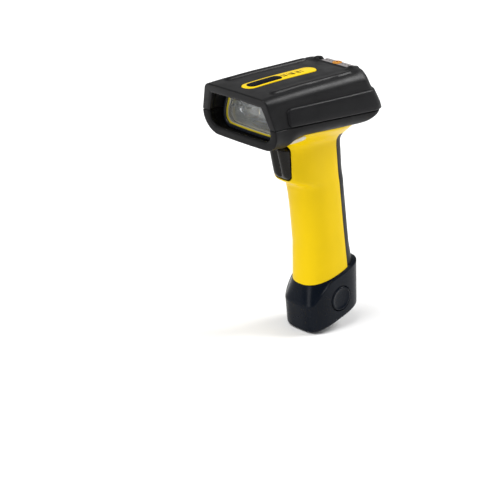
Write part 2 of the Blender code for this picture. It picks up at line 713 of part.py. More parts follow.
def make_latches(frame, battery_axis):
    """A round push button on each side of the boot, with its spring and its catch."""
    axes = {}
    for side, name in ((1, "right"), (-1, "left")):
        axis = empty(f"latch_{name}_axis", side * BOOT_HALF, BUTTON_Y, BUTTON_Z, frame)
        axes[name] = axis
        face = BOOT_HALF + 0.1
        profile = [
            (0, face - 0.9), (BUTTON_RADIUS * 0.55, face - 0.7), (BUTTON_RADIUS - 0.8, face),
            (BUTTON_RADIUS, face - 0.8), (BUTTON_RADIUS, face - 5.0), (4.2, face - 5.0),
            (4.2, face - 8.6), (0, face - 8.6)
        ]
        turned(f"latch_button_{name}", profile, "boot_plastic", (0, BUTTON_Y, BUTTON_Z), (side, 0, 0), 28,
               axis)
        route = coil_route(2.8, 6.0, 4, (side * 7.6, BUTTON_Y, BUTTON_Z), (side, 0, 0))
        wire(f"latch_spring_{name}", route, 0.35, "steel", battery_axis)
    post = add("latch_block", box("latch_block", (7.0, 13.0, 13.0), (0, BUTTON_Y, BUTTON_Z)),
               "black_plastic", battery_axis)
    rounded(post, 1.0, 1)


def make_battery(battery_axis):
    low, high = -128.0, -56.0
    middle = (low + high) / 2
    length = (high - low) * math.sqrt(1 + RAKE**2)
    cell = [
        (0, length / 2), (9.0, length / 2), (9.3, length / 2 - 0.6), (9.3, 0.6 - length / 2),
        (9.0, -length / 2), (0, -length / 2)
    ]
    up = -GRIP_DOWN
    turned("battery_cell", cell, "battery_wrap", grip_axis_point(middle), up, 24, battery_axis)
    cap = [(0, 1.4), (2.6, 1.4), (2.8, 1.1), (2.8, 0), (0, 0)]
    top = Vector(grip_axis_point(middle)) + up * (length / 2 + GAP)
    turned("battery_terminal", cap, "steel", top, up, 16, battery_axis)
    base = Vector(grip_axis_point(middle)) - up * (length / 2 + 2.3)
    turned("battery_holder", tube_profile(11.2, 6.0, 4.0), "black_plastic", base, up, 24, battery_axis)
    seal = [oval(77.6, 112.8, 13.6, 2.4, SEAM_Z + z, slope=SEAM_SLOPE) for z in (1.2, 3.0)]
    hole = [oval(79.8, 110.6, 11.4, 2.4, SEAM_Z + z, slope=SEAM_SLOPE) for z in (-4.0, 8.0)]
    seal = add("boot_seal", loft("boot_seal", seal), "seal_rubber", battery_axis)
    hole = add("cut_seal_bore", loft("cut_seal_bore", hole), None, battery_axis, cutter=True)
    cut(seal, hole)


def make_contact_block():
    place = Vector(grip_axis_point(-47.0))
    block = box("contact_block", (16.0, 18.0, 5.0), place, math.degrees(math.atan(RAKE)))
    rounded(add("contact_block", block, "black_plastic"), 1.0, 1)
    for name, x in (("positive", 3.4), ("negative", -3.4)):
        centre = place + Vector((x, 0, -4.3 + RAKE))
        route = coil_route(1.3, 2.2, 3, centre, GRIP_DOWN, 7)
        wire(f"battery_spring_{name}", route, 0.25, "gold")


# ---------------------------------------------------------------- trigger group

def trigger_front(z):
    return 39.4 + 0.33 * (-23.5 - z)


def make_trigger(trigger_axis):
    """A scooped paddle that hinges on a pin at its top, inside the slot."""
    rings = []
    for z, front, rear, half in (
        (-24.4, trigger_front(-24.4) + 3.0, 60.0, 5.2),
        (-25.6, trigger_front(-25.6) + 0.8, 60.5, 7.6),
        (-28.0, trigger_front(-28.0), 60.5, TRIGGER_HALF),
        (-36.0, trigger_front(-36.0), 57.5, TRIGGER_HALF),
        (-45.0, trigger_front(-45.0), 57.0, TRIGGER_HALF),
        (-47.8, trigger_front(-47.8) + 0.4, 57.0, 7.2),
        (-49.2, trigger_front(-49.2) + 2.2, 56.0, 5.4),
    ):
        rings.append(oval(front, rear, half, 4.2, z, count=26))
    paddle = add("trigger", loft("trigger", rings), "trigger_plastic", trigger_axis)
    x, y, z = TRIGGER_PIVOT
    bore = cone("cut_trigger_bore", 1.6, 1.6, 40, TRIGGER_PIVOT, (1, 0, 0), 16)
    cut(paddle, add("cut_trigger_bore", bore, None, trigger_axis, cutter=True))
    pocket = box("cut_trigger_pocket", (8.0, 12.0, 7.0), (0, 58.5, -44.5))
    cut(paddle, add("cut_trigger_pocket", pocket, None, trigger_axis, cutter=True))
    soften(paddle, 40)
    pin = cone("trigger_pin", 1.3, 1.3, 24.8, TRIGGER_PIVOT, (1, 0, 0), 16)
    soften(add("trigger_pin", pin, "steel"))
    route = coil_route(2.2, 7.0, 4, (0, 57.6, -44.2), (0, 1, 0))
    wire("trigger_spring", route, 0.3, "steel")
    switch = box("trigger_switch", (12.0, 7.0, 9.5), (0, 66.0, -36.5))
    switch = rounded(add("trigger_switch", switch, "black_plastic"), 0.6, 1)
    slot = box("cut_plunger_slot", (3.6, 5.4, 20.0), (0, 62.5, -36.5))
    cut(switch, add("cut_plunger_slot", slot, None, cutter=True))
    plunger_axis = empty("plunger_axis", 0, 60.0, PLUNGER_Z, bpy.data.objects["head_frame"])
    plunger = cone("switch_plunger", 1.5, 1.2, 3.0, (0, 60.7, PLUNGER_Z), (0, -1, 0), 14)
    soften(add("switch_plunger", plunger, "black_plastic", plunger_axis))
    board = box("handle_board", (22.0, 1.4, 20.0), (0, 72.4, -31.0))
    rounded(add("handle_board", board, "board_green"), 0.3, 1)


# ---------------------------------------------------------------- scan engine and electronics

def make_engine(mirror_axis):
    floor = [(-21, -5.4), (21, -5.4), (21, 8.0), (19.4, 8.0), (19.4, -4.2), (-19.4, -4.2), (-19.4, 8.0),
             (-21, 8.0)]
    rings = [[(x, y, z) for x, z in floor] for y in (38.0, 74.0)]
    points = [p for ring in rings for p in ring]
    n = len(floor)
    faces = [tuple(range(n)), tuple(range(n, 2 * n))]
    faces += [(i, (i + 1) % n, n + (i + 1) % n, n + i) for i in range(n)]
    add("engine_chassis", mesh_of("engine_chassis", points, faces), "cast_metal")

    mirror = box("scan_mirror", (34.0, 1.6, 17.0), (0, MIRROR_AXIS_Y - 3.2, 5.6))
    rounded(add("scan_mirror", mirror, "mirror_silver", mirror_axis), 0.4, 1)
    shaft = cone("mirror_shaft", 1.2, 1.2, 17.0, (0, MIRROR_AXIS_Y, 5.0), steps=12)
    soften(add("mirror_shaft", shaft, "steel", mirror_axis))
    magnet = box("mirror_magnet", (9.0, 4.0, 5.0), (0, MIRROR_AXIS_Y + 3.9, 4.4))
    add("mirror_magnet", magnet, "cast_metal", mirror_axis)
    turned("drive_coil", tube_profile(6.5, 3.2, 6.0), "copper", (0, MIRROR_AXIS_Y + 13.5, 4.4), (0, 1, 0))
    core = cone("coil_core", 2.9, 2.9, 9.0, (0, MIRROR_AXIS_Y + 14.2, 4.4), (0, 1, 0), 14)
    soften(add("coil_core", core, "steel"))

    barrel = Vector((0.42, 0.9, 0)).normalized()
    place = Vector((-14.0, 33.2, -1.0))
    body = [(0, 4.5), (2.2, 4.5), (3.2, 3.6), (3.2, -5.0), (0, -5.0)]
    turned("laser_module", body, "brass", place, barrel, 16)
    lens = [(0, 0.7), (1.2, 0.5), (1.7, 0.0), (1.7, -0.2), (0, -0.2)]
    turned("laser_lens", lens, "window_glass", place + barrel * 5.0, barrel, 12)
    sensor = box("photodiode", (7.0, 1.6, 6.0), (12.5, 34.0, -1.0))
    rounded(add("photodiode", sensor, "amber_lens"), 0.4, 1)
    bracket = box("photodiode_board", (11.0, 1.2, 9.0), (12.5, 32.2, -1.0))
    add("photodiode_board", bracket, "board_green")


def make_electronics():
    board = add("main_board", box("main_board", (46.0, 52.0, 1.6), (0, 66.0, 17.4), 1.5), "board_green")
    rounded(board, 0.4, 1)
    radio = add("radio_module", box("radio_module", (17.0, 22.0, 2.6), (12.0, 73.0, 15.0), 1.5),
                "cast_metal")
    rounded(radio, 0.5, 1)
    chip = add("processor_chip", box("processor_chip", (12.0, 12.0, 1.4), (-12.0, 74.0, 15.6), 1.5),
               "black_plastic")
    rounded(chip, 0.3, 1)
    profile = [(0, 2.8), (1.2, 2.8), (1.4, 3.2), (6.0, 3.2), (6.4, 2.8), (6.4, -3.0), (0, -3.0)]
    turned("beeper", profile, "black_plastic", (-14.0, 94.0, 9.0))
    lamp = [(0, 3.2), (1.4, 2.7), (2.2, 1.4), (2.2, -1.8), (0, -1.8)]
    turned("indicator_led", lamp, "amber_lens", (14.0, 95.0, 9.0))
    route = [(-6, 86 - 10 * i / 6, 12.5 - 6.2 * i) for i in range(7)]
    ribbon = []
    for x, y, z in route:
        ribbon.append([(x - 5, y - 0.2, z), (x + 5, y - 0.2, z), (x + 5, y + 0.2, z), (x - 5, y + 0.2, z)])
    add("flex_cable", loft("flex_cable", ribbon), "flex_orange")


def make_screws():
    """Four screws through the lower tray into the upper housing."""
    head = [(0, 1.2), (2.4, 1.2), (2.6, 0.9), (2.6, -0.9), (1.1, -0.9), (1.1, -7.0), (0, -7.6)]
    for number, (x, y) in enumerate(((26, 38), (-26, 38), (24, 96), (-24, 96))):
        turned(f"head_screw_{number + 1}", head, "steel", (x, y, -2.2), (0, 0, -1), 12)


def build():
    clear_scene()
    collection(PARTS)
    collection(CUTTERS)
    frame = empty("head_frame", 0, NOSE_Y, PARTING_Z)
    battery_axis = empty("battery_axis", *grip_axis_point(SEAM_Z), frame)
    trigger_axis = empty("trigger_axis", *TRIGGER_PIVOT, frame)
    mirror_axis = empty("mirror_axis", 0, MIRROR_AXIS_Y, 4.4, frame)
    make_head()
    make_bumper()
    make_labels()
    make_window()
    make_grip()
    make_boot(battery_axis)
    make_latches(frame, battery_axis)
    make_battery(battery_axis)
    make_contact_block()
    make_trigger(trigger_axis)
    make_engine(mirror_axis)
    make_electronics()
    make_screws()


build()
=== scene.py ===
"""Looks of the cordless barcode scanner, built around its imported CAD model.

Fine shells are drawn in the head frame, in millimetres: x across, y rearward from the top of
the nose, z up from the parting plane of the head. place() moves them into the CAD's frame.
"""
import math

import bmesh
import bpy
from mathutils import Matrix, Vector


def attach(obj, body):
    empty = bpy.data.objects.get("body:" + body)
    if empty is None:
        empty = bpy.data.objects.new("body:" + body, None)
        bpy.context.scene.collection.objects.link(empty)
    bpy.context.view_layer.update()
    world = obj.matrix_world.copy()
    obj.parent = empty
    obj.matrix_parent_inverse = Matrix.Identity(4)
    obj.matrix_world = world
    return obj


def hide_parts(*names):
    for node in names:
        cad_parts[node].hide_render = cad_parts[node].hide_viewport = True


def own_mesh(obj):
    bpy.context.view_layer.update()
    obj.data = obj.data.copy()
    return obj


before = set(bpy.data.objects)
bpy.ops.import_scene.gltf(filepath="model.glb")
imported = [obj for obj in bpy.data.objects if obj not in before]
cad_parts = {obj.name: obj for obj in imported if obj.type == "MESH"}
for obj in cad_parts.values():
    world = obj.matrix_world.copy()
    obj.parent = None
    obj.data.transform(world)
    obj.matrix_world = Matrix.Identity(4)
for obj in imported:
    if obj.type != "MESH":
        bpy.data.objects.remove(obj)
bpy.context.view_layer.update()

MM = 0.001
NOSE_Y, PARTING_Z = -61.43, 170.62

# ------------------------------------------------------------------ form of the head
# Most knots are (share of the way along the head, millimetres). REAR_FACE knots are (z, y).
HEAD_LENGTH = 116.0
NOSE_TILT, NOSE_TOP = 0.245, 20.5
UPRIGHT_AT, UPRIGHT_Y = 0.2, 23.2  # sections stand upright behind this
BASE_HALF = ((0.0, 37.2), (0.1, 36.2), (0.5, 35.8), (0.8, 35.4), (1.0, 34.8))
TOP_HALF = ((0.0, 30.5), (0.12, 31.0), (0.6, 31.0), (1.0, 29.5))
TOP_HEIGHT = ((0.0, NOSE_TOP), (0.13, 22.4), (0.36, 24.6), (0.62, 26.3), (0.86, 27.6), (1.0, 27.2))
TOP_CROWN = 0.35
HORN = ((0.0, 0.0), (0.84, 0.0), (0.92, 3.1), (1.0, 3.1))
HORN_INNER_X, HORN_RUN = 13.0, 4.5
KEEL_CROWN = 0.8
SHOULDER = ((0.0, 5.5), (0.15, 7.0), (1.0, 7.5))
KEEL_DEPTH = (
    (0.0, 16.3), (0.14, 16.2), (0.2, 15.9), (0.26, 12.4), (0.31, 10.2), (0.38, 9.2), (0.76, 9.1),
    (0.9, 8.3), (1.0, 5.0)
)
KEEL_RADIUS = ((0.0, 13.0), (0.2, 12.0), (0.35, 8.6), (0.8, 8.6), (1.0, 4.5))
REAR_FACE = (
    (-16.0, 96.0), (-10.0, 104.0), (-6.0, 109.5), (-3.0, 113.0), (0.0, 114.8), (3.0, 115.0),
    (8.0, 112.6), (15.6, 108.2), (20.8, 105.4), (25.6, 103.4), (30.0, 102.4)
)
REAR_CORNER = 11.0
BEND = 1 - REAR_CORNER / HEAD_LENGTH  # where the rear corners begin
REAR_EDGE = 3.4
COVER_WALL = 2.6
PARTING_HALF, FOOT_RETURN = 0.28, 0.3
SHOULDER_STEPS, KEEL_STEPS = 12, 16
SHELF_HALF = 19.4
RIM_END = 0.012
LIP_FROM, LIP_TO = 0.77, 0.845  # a stretch with close sections, for the recess's lip
PAD_START, PAD_END_RUN = 0.15, 0.04
RIB_X, RIB_HALF, RIB_HEIGHT, RIB_START, RIB_END = 22.6, 2.1, 1.15, 13.0, 88.5
GROOVE_WIDTH, GROOVE_DEPTH = 0.4, 0.22

# ------------------------------------------------------------------ form of the labels
PLATE_START, PLATE_END = 14.6, 69.4
LABEL_TILT = 8.0
LABEL_UP = (0.0, -math.sin(math.radians(LABEL_TILT)), math.cos(math.radians(LABEL_TILT)))
LABEL_LEAN = Matrix.Rotation(math.radians(LABEL_TILT), 3, "X")
LABEL_MIDDLE = Vector((-1.0, 99.9, 28.05))
RECESS_DROP = ((0.0, 0.0), (0.76, 0.0), (0.82, 3.2), (1.0, 3.2))
RECESS_HALF, RECESS_FRONT = 17.2, 94.9
LIP_OUT, LIP_HALF, LIP_HEIGHT = 0.9, 1.1, 0.75

# ------------------------------------------------------------------ form of the grip and boot
# Levels are (z, front y, rear y, half width, squareness behind, squareness in front).
GRIP_LEVELS = (
    (-8.4, 24.6, 105.6, 30.2, 2.7, 6.0),
    (-9.8, 24.9, 105.0, 29.8, 2.7, 6.0),
    (-14.0, 29.0, 102.0, 25.6, 2.8, 4.8),
    (-18.5, 37.5, 98.8, 20.8, 2.8, 3.4),
    (-23.0, 44.8, 97.0, 18.0, 2.9, 2.9),
    (-33.0, 47.5, 98.4, 17.2, 3.0, 3.0),
    (-46.0, 49.0, 100.8, 17.1, 2.9, 2.9),
    (-51.5, 51.0, 102.5, 17.1, 2.8, 2.8),
    (-55.5, 59.4, 103.6, 17.1, 2.6, 2.6),
    (-60.0, 61.8, 104.5, 17.1, 2.5, 2.5),
    (-73.0, 64.8, 107.5, 17.1, 2.4, 2.4),
    (-88.0, 67.8, 110.5, 17.1, 2.4, 2.4),
    (-104.0, 70.8, 113.7, 17.3, 2.4, 2.4),
)
RING_POINTS = 120
SEAM_SLOPE = 0.34
SEAM_MIDDLE_Y = 97.0
SEAM_Z = -125.6
BELLY_DIP, BELLY_REAR_Y, BELLY_RUN, BELLY_DEPTH = 5.8, 41.0, 16.0, 11.0
GRIP_WALL = 2.4
BACK_LINE_Y, BACK_LINE_Z, BACK_LINE_SLOPE = 84.9, -21.8, 0.206
BOOT_FRONT, BOOT_REAR, BOOT_HALF = 70.6, 123.0, 19.6
BOOT_MIDDLE_Y, BOOT_WALL = 95.9, 2.4
BOOT_FLOOR_Z = -162.7
BOOT_POWER, BOOT_FRONT_POWER = 3.1, 3.6
FLOOR_EDGE, FLOOR_INSET = 2.4, 2.2
FLOOR_NORMAL = Vector((0, -SEAM_SLOPE, 1)).normalized()
CONTACT_X, CONTACT_Y = (-7.5, -2.5, 2.5, 7.5), 106.0
BUTTON_Y, BUTTON_Z, BUTTON_RADIUS = 98.1, -145.1, 9.2
TRIGGER_HALF, TRIGGER_TOP, TRIGGER_FOOT = 8.4, -24.4, -49.3


# ------------------------------------------------------------------ mesh helpers
def place(point):
    x, y, z = point
    return Vector((x * MM, (y + NOSE_Y) * MM, (z + PARTING_Z) * MM))


def add_object(name, data):
    made = bpy.data.objects.new(name, data)
    bpy.context.scene.collection.objects.link(made)
    return made


def piece(name, points, faces, surface, body, nodes=(), slot=None, sharp=34.0):
    """A mesh drawn in the head frame, made into an object that rides on a body, if one is given."""
    mesh = bpy.data.meshes.new(name)
    mesh.from_pydata([place(p) for p in points], [], faces)
    work = bmesh.new()
    work.from_mesh(mesh)
    bmesh.ops.recalc_face_normals(work, faces=work.faces)
    work.to_mesh(mesh)
    work.free()
    made = add_object(name, mesh)
    if body is None:
        return made
    mesh.materials.append(surface)
    mesh.shade_smooth()
    mesh.set_sharp_from_angle(angle=math.radians(sharp))
    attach(made, body)
    if nodes:
        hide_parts(*nodes)
    return made


def loft(rings, mirrored_caps=False, closed=False):
    """Points and faces of a solid through closed rings; closed joins the last ring to the first.

    Ends are closed by fans, or with mirrored_caps by strips across rings that are symmetric.
    """
    count = len(rings[0])
    points = [tuple(p) for ring in rings for p in ring]
    faces = []
    for r in range(len(rings) - (0 if closed else 1)):
        n = (r + 1) % len(rings)
        for i in range(count):
            j = (i + 1) % count
            faces.append((r * count + i, r * count + j, n * count + j, n * count + i))
    if closed:
        return points, faces
    for base in (0, (len(rings) - 1) * count):
        if mirrored_caps:
            half = (count - 1) // 2
            for i in range(half - 1):
                faces.append((base + i, base + i + 1, base + count - 2 - i, base + count - 1 - i))
            faces.append((base + half - 1, base + half, base + half + 1))
        else:
            ring = points[base:base + count]
            points.append(tuple(sum(p[k] for p in ring) / count for k in range(3)))
            middle = len(points) - 1
            for i in range(count):
                faces.append((base + i, base + (i + 1) % count, middle))
    return points, faces


def cutter(name, points, faces):
    return piece(name, points, faces, None, None)


def carve(target, *tools, operation="DIFFERENCE"):
    """Apply exact Booleans and drop their tools."""
    for tool in tools:
        made = target.modifiers.new("carve", "BOOLEAN")
        made.operation = operation
        made.object = tool
        made.solver = "EXACT"
    bpy.context.view_layer.update()
    graph = bpy.context.evaluated_depsgraph_get()
    baked = bpy.data.meshes.new_from_object(target.evaluated_get(graph))
    target.modifiers.clear()
    old = target.data
    target.data = baked
    baked.name = old.name
    bpy.data.meshes.remove(old)
    for tool in tools:
        bpy.data.objects.remove(tool, do_unlink=True)


def rounded_box(size, centre, radius, segments=5):
    work = bmesh.new()
    bmesh.ops.create_cube(work, size=1.0)
    bmesh.ops.scale(work, vec=Vector(size), verts=work.verts)
    if radius:
        bmesh.ops.bevel(work, geom=list(work.edges), offset=radius, segments=segments, profile=0.5,
                        affect="EDGES", clamp_overlap=True)
    points = [tuple(v.co + Vector(centre)) for v in work.verts]
    work.verts.index_update()
    faces = [[v.index for v in f.verts] for f in work.faces]
    work.free()
    return points, faces


def turned(profile, centre, axis, steps=64):
    """A body of revolution; profile is (radius, height) from one end's middle to the other's."""
    rings = [[(r * math.cos(a), r * math.sin(a), h) for a in circle(steps)] for r, h in profile[1:-1]]
    points = [p for ring in rings for p in ring]
    faces = []
    for k in range(len(rings) - 1):
        for i in range(steps):
            j = (i + 1) % steps
            faces.append((k * steps + i, k * steps + j, (k + 1) * steps + j, (k + 1) * steps + i))
    points += [(0, 0, profile[0][1]), (0, 0, profile[-1][1])]
    last = (len(rings) - 1) * steps
    for i in range(steps):
        j = (i + 1) % steps
        faces.append((i, j, len(points) - 2))
        faces.append((last + i, last + j, len(points) - 1))
    turn = Vector((0, 0, 1)).rotation_difference(Vector(axis)).to_matrix()
    return [tuple(turn @ Vector(p) + Vector(centre)) for p in points], faces


def circle(steps):
    return [2 * math.pi * i / steps for i in range(steps)]


def smooth(share):
    share = min(1.0, max(0.0, share))
    return share * share * (3 - 2 * share)


def through(knots, at):
    """A smooth value through (place, value) knots, held flat past both ends."""
    if at <= knots[0][0]:
        return knots[0][1]
    if at >= knots[-1][0]:
        return knots[-1][1]
    k = max(i for i in range(len(knots) - 1) if knots[i][0] <= at)

    def lean(i):
        low, high = max(i - 1, 0), min(i + 1, len(knots) - 1)
        return (knots[high][1] - knots[low][1]) / (knots[high][0] - knots[low][0])

    (a, start), (b, end) = knots[k], knots[k + 1]
    span = b - a
    s = (at - a) / span
    return (
        (2 * s**3 - 3 * s**2 + 1) * start
        + (s**3 - 2 * s**2 + s) * span * lean(k)
        + (3 * s**2 - 2 * s**3) * end
        + (s**3 - s**2) * span * lean(k + 1)
    )


# ------------------------------------------------------------------ sections of the head
def round_corner(before, corner, after, radius, steps):
    c = Vector(corner)
    u = (Vector(before) - c).normalized()
    v = (Vector(after) - c).normalized()
    half = u.angle(v) / 2
    reach = radius / math.tan(half)
    middle = c + (u + v).normalized() * radius / math.sin(half)
    start = c + u * reach - middle
    end = c + v * reach - middle
    sweep = start.angle(end)
    points = []
    for i in range(steps + 1):
        s = i / steps
        mixed = (start * math.sin((1 - s) * sweep) + end * math.sin(s * sweep)) / math.sin(sweep)
        points.append(middle + mixed)
    return points


def plan_scale(t, inset):
    """How much narrower a section is, to round the rear corners in plan."""
    half = through(BASE_HALF, t)
    past = max(0.0, t * HEAD_LENGTH - (HEAD_LENGTH - REAR_CORNER))
    radius = REAR_CORNER - inset
    past *= radius / REAR_CORNER
    return (half - REAR_CORNER + math.sqrt(max(radius**2 - past**2, 0.0))) / (half - inset)


def head_y(t, z, inset=0.0):
    """Sections lean with the nose in front, and take on the rear face's shape behind."""
    if t < UPRIGHT_AT:
        front = NOSE_TILT * (NOSE_TOP - z)
        return front + (UPRIGHT_Y - front) * t / UPRIGHT_AT
    rear = through(REAR_FACE, z) - inset
    return UPRIGHT_Y + (rear - UPRIGHT_Y) * (t - UPRIGHT_AT) / (1 - UPRIGHT_AT)


def mirrored(right, t, inset):
    """Both halves of a section, narrowed and leant for its place along the head."""
    ring = right + [Vector((-p.x, p.y)) for p in reversed(right[:-1])]
    scale = plan_scale(t, inset)
    return [(p.x * scale, head_y(t, p.y, inset), p.y) for p in ring]


def upper_ring(t, inset=0.0, shrink=0.0, base_z=PARTING_HALF, drop=0.0):
    """A section above the parting plane. inset moves every wall in; shrink only rounds an end."""
    cut = inset + shrink
    base = through(BASE_HALF, t) - cut
    top = through(TOP_HALF, t) - cut * 0.85
    height = through(TOP_HEIGHT, t) - cut - drop
    radius = max(through(SHOULDER, t) - cut, 1.2)
    arc = round_corner((base, 0), (top, height), (0, height), radius, SHOULDER_STEPS)
    foot = Vector((base + (top - base) * base_z / height, base_z))
    right = [foot if inset else foot - Vector((FOOT_RETURN, 0))]
    right += [foot.lerp(arc[0], s) for s in (0.012, 0.1, 0.22, 0.35, 0.5, 0.65, 0.8, 0.92)]
    right += arc
    # Points are close together where the beads, the horns and the recess's lip rise.
    shelf = min(arc[-1].x - 0.2, SHELF_HALF)
    right += [Vector((arc[-1].x + (shelf - arc[-1].x) * i / 18, height)) for i in range(1, 19)]
    right += [Vector((shelf * s, height)) for s in (
        0.95, 0.91, 0.87, 0.83, 0.79, 0.75, 0.7, 0.66, 0.55, 0.4, 0.2, 0.0)]
    for p in right:
        beside = smooth((p.x - HORN_INNER_X) / HORN_RUN)
        rise = TOP_CROWN + through(HORN, t) * beside
        p.y += rise * max(0.0, 1 - (p.x / top) ** 2) * max(p.y, 0) / height
    return mirrored(right, t, inset)


def lower_ring(t, inset=0.0, shrink=0.0, base_z=-PARTING_HALF):
    """A section below the parting plane, with the same inset and shrink."""
    cut = inset + shrink
    base = through(BASE_HALF, t) - cut
    depth = through(KEEL_DEPTH, t) - cut
    radius = min(max(through(KEEL_RADIUS, t) - cut, 1.0), depth - 0.4)
    arc = round_corner((base, 0), (base, -depth), (0, -depth), radius, KEEL_STEPS)
    foot = Vector((base, base_z))
    right = [foot if inset else foot - Vector((FOOT_RETURN, 0))]
    right += [foot.lerp(arc[0], s) for s in (0.08, 0.3, 0.65)] + arc
    reach = arc[-1].x
    right += [Vector((reach * s, -depth)) for s in (0.85, 0.7, 0.5, 0.3, 0.15, 0.0)]
    for p in right:
        p.y -= KEEL_CROWN * (1 - (p.x / base) ** 2) * max(-p.y, 0) / depth
    return mirrored(right, t, inset)


def with_ribs(ring):
    """Raise the two low beads along the top of the head, each with a fine groove round it."""
    raised = []
    for x, y, z in ring:
        along = max(0.0, RIB_START + RIB_HALF - y, y - RIB_END + RIB_HALF)
        away = math.hypot(abs(x) - RIB_X, along) / RIB_HALF
        lift = 0.0
        if away < 1:
            lift = RIB_HEIGHT * math.sqrt(1 - away**2)
        elif away < 1 + GROOVE_WIDTH:
            lift = -GROOVE_DEPTH * math.sin(math.pi * (away - 1) / GROOVE_WIDTH)
        raised.append((x, y, z + lift if z > 10 else z))
    return raised


def recess_lip(points):
    """Raise a low bead round the front and sides of the status label's recess."""
    raised = []
    for x, y, z in points:
        side, ahead = abs(x) - RECESS_HALF, RECESS_FRONT - y
        if side > 0 and ahead > 0:
            away = math.hypot(side, ahead)
        else:
            away = max(side, ahead)
        lift = 0.0
        if z > 20 and abs(away - LIP_OUT) < LIP_HALF:
            lift = LIP_HEIGHT * math.cos((away - LIP_OUT) / LIP_HALF * math.pi / 2) ** 0.8
        raised.append((x, y, z + lift))
    return raised


def outer_path():
    """(t, shrink) from the rounded rim of the nose to the rounded edge of the rear face."""
    path = [(0.0, 0.95), (0.0006, 0.62), (0.0019, 0.33), (0.0042, 0.13), (0.0075, 0.02)]
    path.append((RIM_END, 0.0))
    for start, end, count in ((RIM_END, LIP_FROM, 56), (LIP_FROM, LIP_TO, 30), (LIP_TO, BEND, 6)):
        path += [(start + (end - start) * i / count, 0.0) for i in range(1, count + 1)]
    edge = REAR_EDGE / HEAD_LENGTH
    for a in range(4, 91, 5):
        t = BEND + (1 - BEND) * math.sin(math.radians(a))
        if t < 1 - edge:
            path.append((t, 0.0))
    for a in (0, 12, 24, 36, 48, 60, 72, 82, 90):
        s = math.radians(a)
        path.append((1 - edge * (1 - math.sin(s)), REAR_EDGE * (1 - math.cos(s))))
    return path


def hood_path():
    """(t, inset) of the hollow: a rounded lip, the hood, then an even wall."""
    path = [(-0.03, 4.6), (0.0, 4.65), (0.0012, 5.3), (0.0035, 5.85), (0.0075, 6.3), (0.0125, 6.5),
            (0.022, 6.45), (0.028, 6.1), (0.035, 5.9), (0.05, 5.2), (0.065, 4.1), (0.08, 3.5),
            (0.12, 3.4), (0.17, 3.3)]
    path.append((UPRIGHT_AT + 0.005, COVER_WALL))
    path += [(0.22 + 0.74 * i / 20, COVER_WALL) for i in range(21)]
    return path + [(0.985, COVER_WALL), (1.0, COVER_WALL)]


def top_z(x, y):
    """The height of the head's top skin."""
    rear_y = through(REAR_FACE, 27.0)
    t = UPRIGHT_AT + (y - UPRIGHT_Y) * (1 - UPRIGHT_AT) / (rear_y - UPRIGHT_Y)
    return through(TOP_HEIGHT, t) + TOP_CROWN * max(0.0, 1 - (x / through(TOP_HALF, t)) ** 2)


def slab(radius, start, end, low, high, edge=0.0, rows=40):
    """A plate with round ends that follows the sloping top of the head, edges rounded."""
    turn = [math.radians(a) for a in (4, 12, 20, 28, 36, 44, 52, 60, 68, 76, 84, 90)]
    line = [(start - radius * math.cos(a), radius * math.sin(a)) for a in turn]
    line += [(start + (end - start) * k / rows, radius) for k in range(1, rows)]
    line += [(end + radius * math.cos(a), radius * math.sin(a)) for a in reversed(turn)]
    rings = []
    for y, half in line:
        z = top_z(0.0, y)
        soft = min(edge, half * 0.5)
        rings.append([
            (-half, y, z + low), (half, y, z + low), (half, y, z + high - soft),
            (half - soft * 0.3, y, z + high - soft * 0.3), (half - soft, y, z + high),
            (soft - half, y, z + high), (soft * 0.3 - half, y, z + high - soft * 0.3),
            (-half, y, z + high - soft)
        ])
    return loft(rings)


# ------------------------------------------------------------------ sections of the grip and boot
def oval(front, rear, half, power, z, slope=0.0, dip=0.0, front_power=None):
    """A superellipse in plan, squarer as power grows; slope tilts it and dip lowers its front."""
    middle, depth = (front + rear) / 2, (rear - front) / 2
    ring = []
    for a in circle(RING_POINTS):
        c, s = math.cos(a), math.sin(a)
        p = front_power if front_power and s < 0 else power
        x = half * math.copysign(abs(c) ** (2 / p), c)
        y = middle + depth * math.copysign(abs(s) ** (2 / p), s)
        lowered = dip * max(0.0, min(1.0, (BELLY_REAR_Y - y) / BELLY_RUN)) ** 1.4
        ring.append((x, y, z + slope * (y - SEAM_MIDDLE_Y) - lowered))
    return ring


def grip_value(z, column):
    """One column of GRIP_LEVELS, at any height."""
    return through([(-level[0], level[column]) for level in GRIP_LEVELS], -z)


def grip_level(z, inset=0.0):
    front, rear, half, power, front_power = (grip_value(z, column) for column in range(1, 6))
    dip = BELLY_DIP * max(0.0, 1 - (GRIP_LEVELS[0][0] - z) / BELLY_DEPTH)
    return oval(front + inset, rear - inset, half - inset, power, z, dip=dip, front_power=front_power)


def grip_rings():
    """A rounded top edge, the grip's levels, and a run down to the sloping seam."""
    top, low = GRIP_LEVELS[0][0], GRIP_LEVELS[-1][0]
    rings = [grip_level(top, 0.7), grip_level(top - 0.12, 0.25), grip_level(top - 0.45, 0.0)]
    steps = 78
    rings += [grip_level(top - 0.9 + (low - top + 0.9) * i / steps) for i in range(steps + 1)]
    last = (low, *GRIP_LEVELS[-1][1:5])
    foot = (SEAM_Z + 0.15, 73.0, 118.6, 17.5, 2.4)
    for i in range(1, 13):
        s = i / 12
        z, front, rear, half, power = (a + (b - a) * s for a, b in zip(last, foot))
        rings.append(oval(front, rear, half, power, z, slope=SEAM_SLOPE * s))
    z, front, rear, half, power = foot
    rings.append(oval(front + 0.35, rear - 0.35, half - 0.35, power, z - 0.02, slope=SEAM_SLOPE))
    return rings


def crease_drop(y):
    """How far below the seam the boot's flare ends: deep in front, nothing behind."""
    return 1.2 + 12.4 * max(0.0, min(1.0, (88.0 - y) / 14.0)) ** 1.5


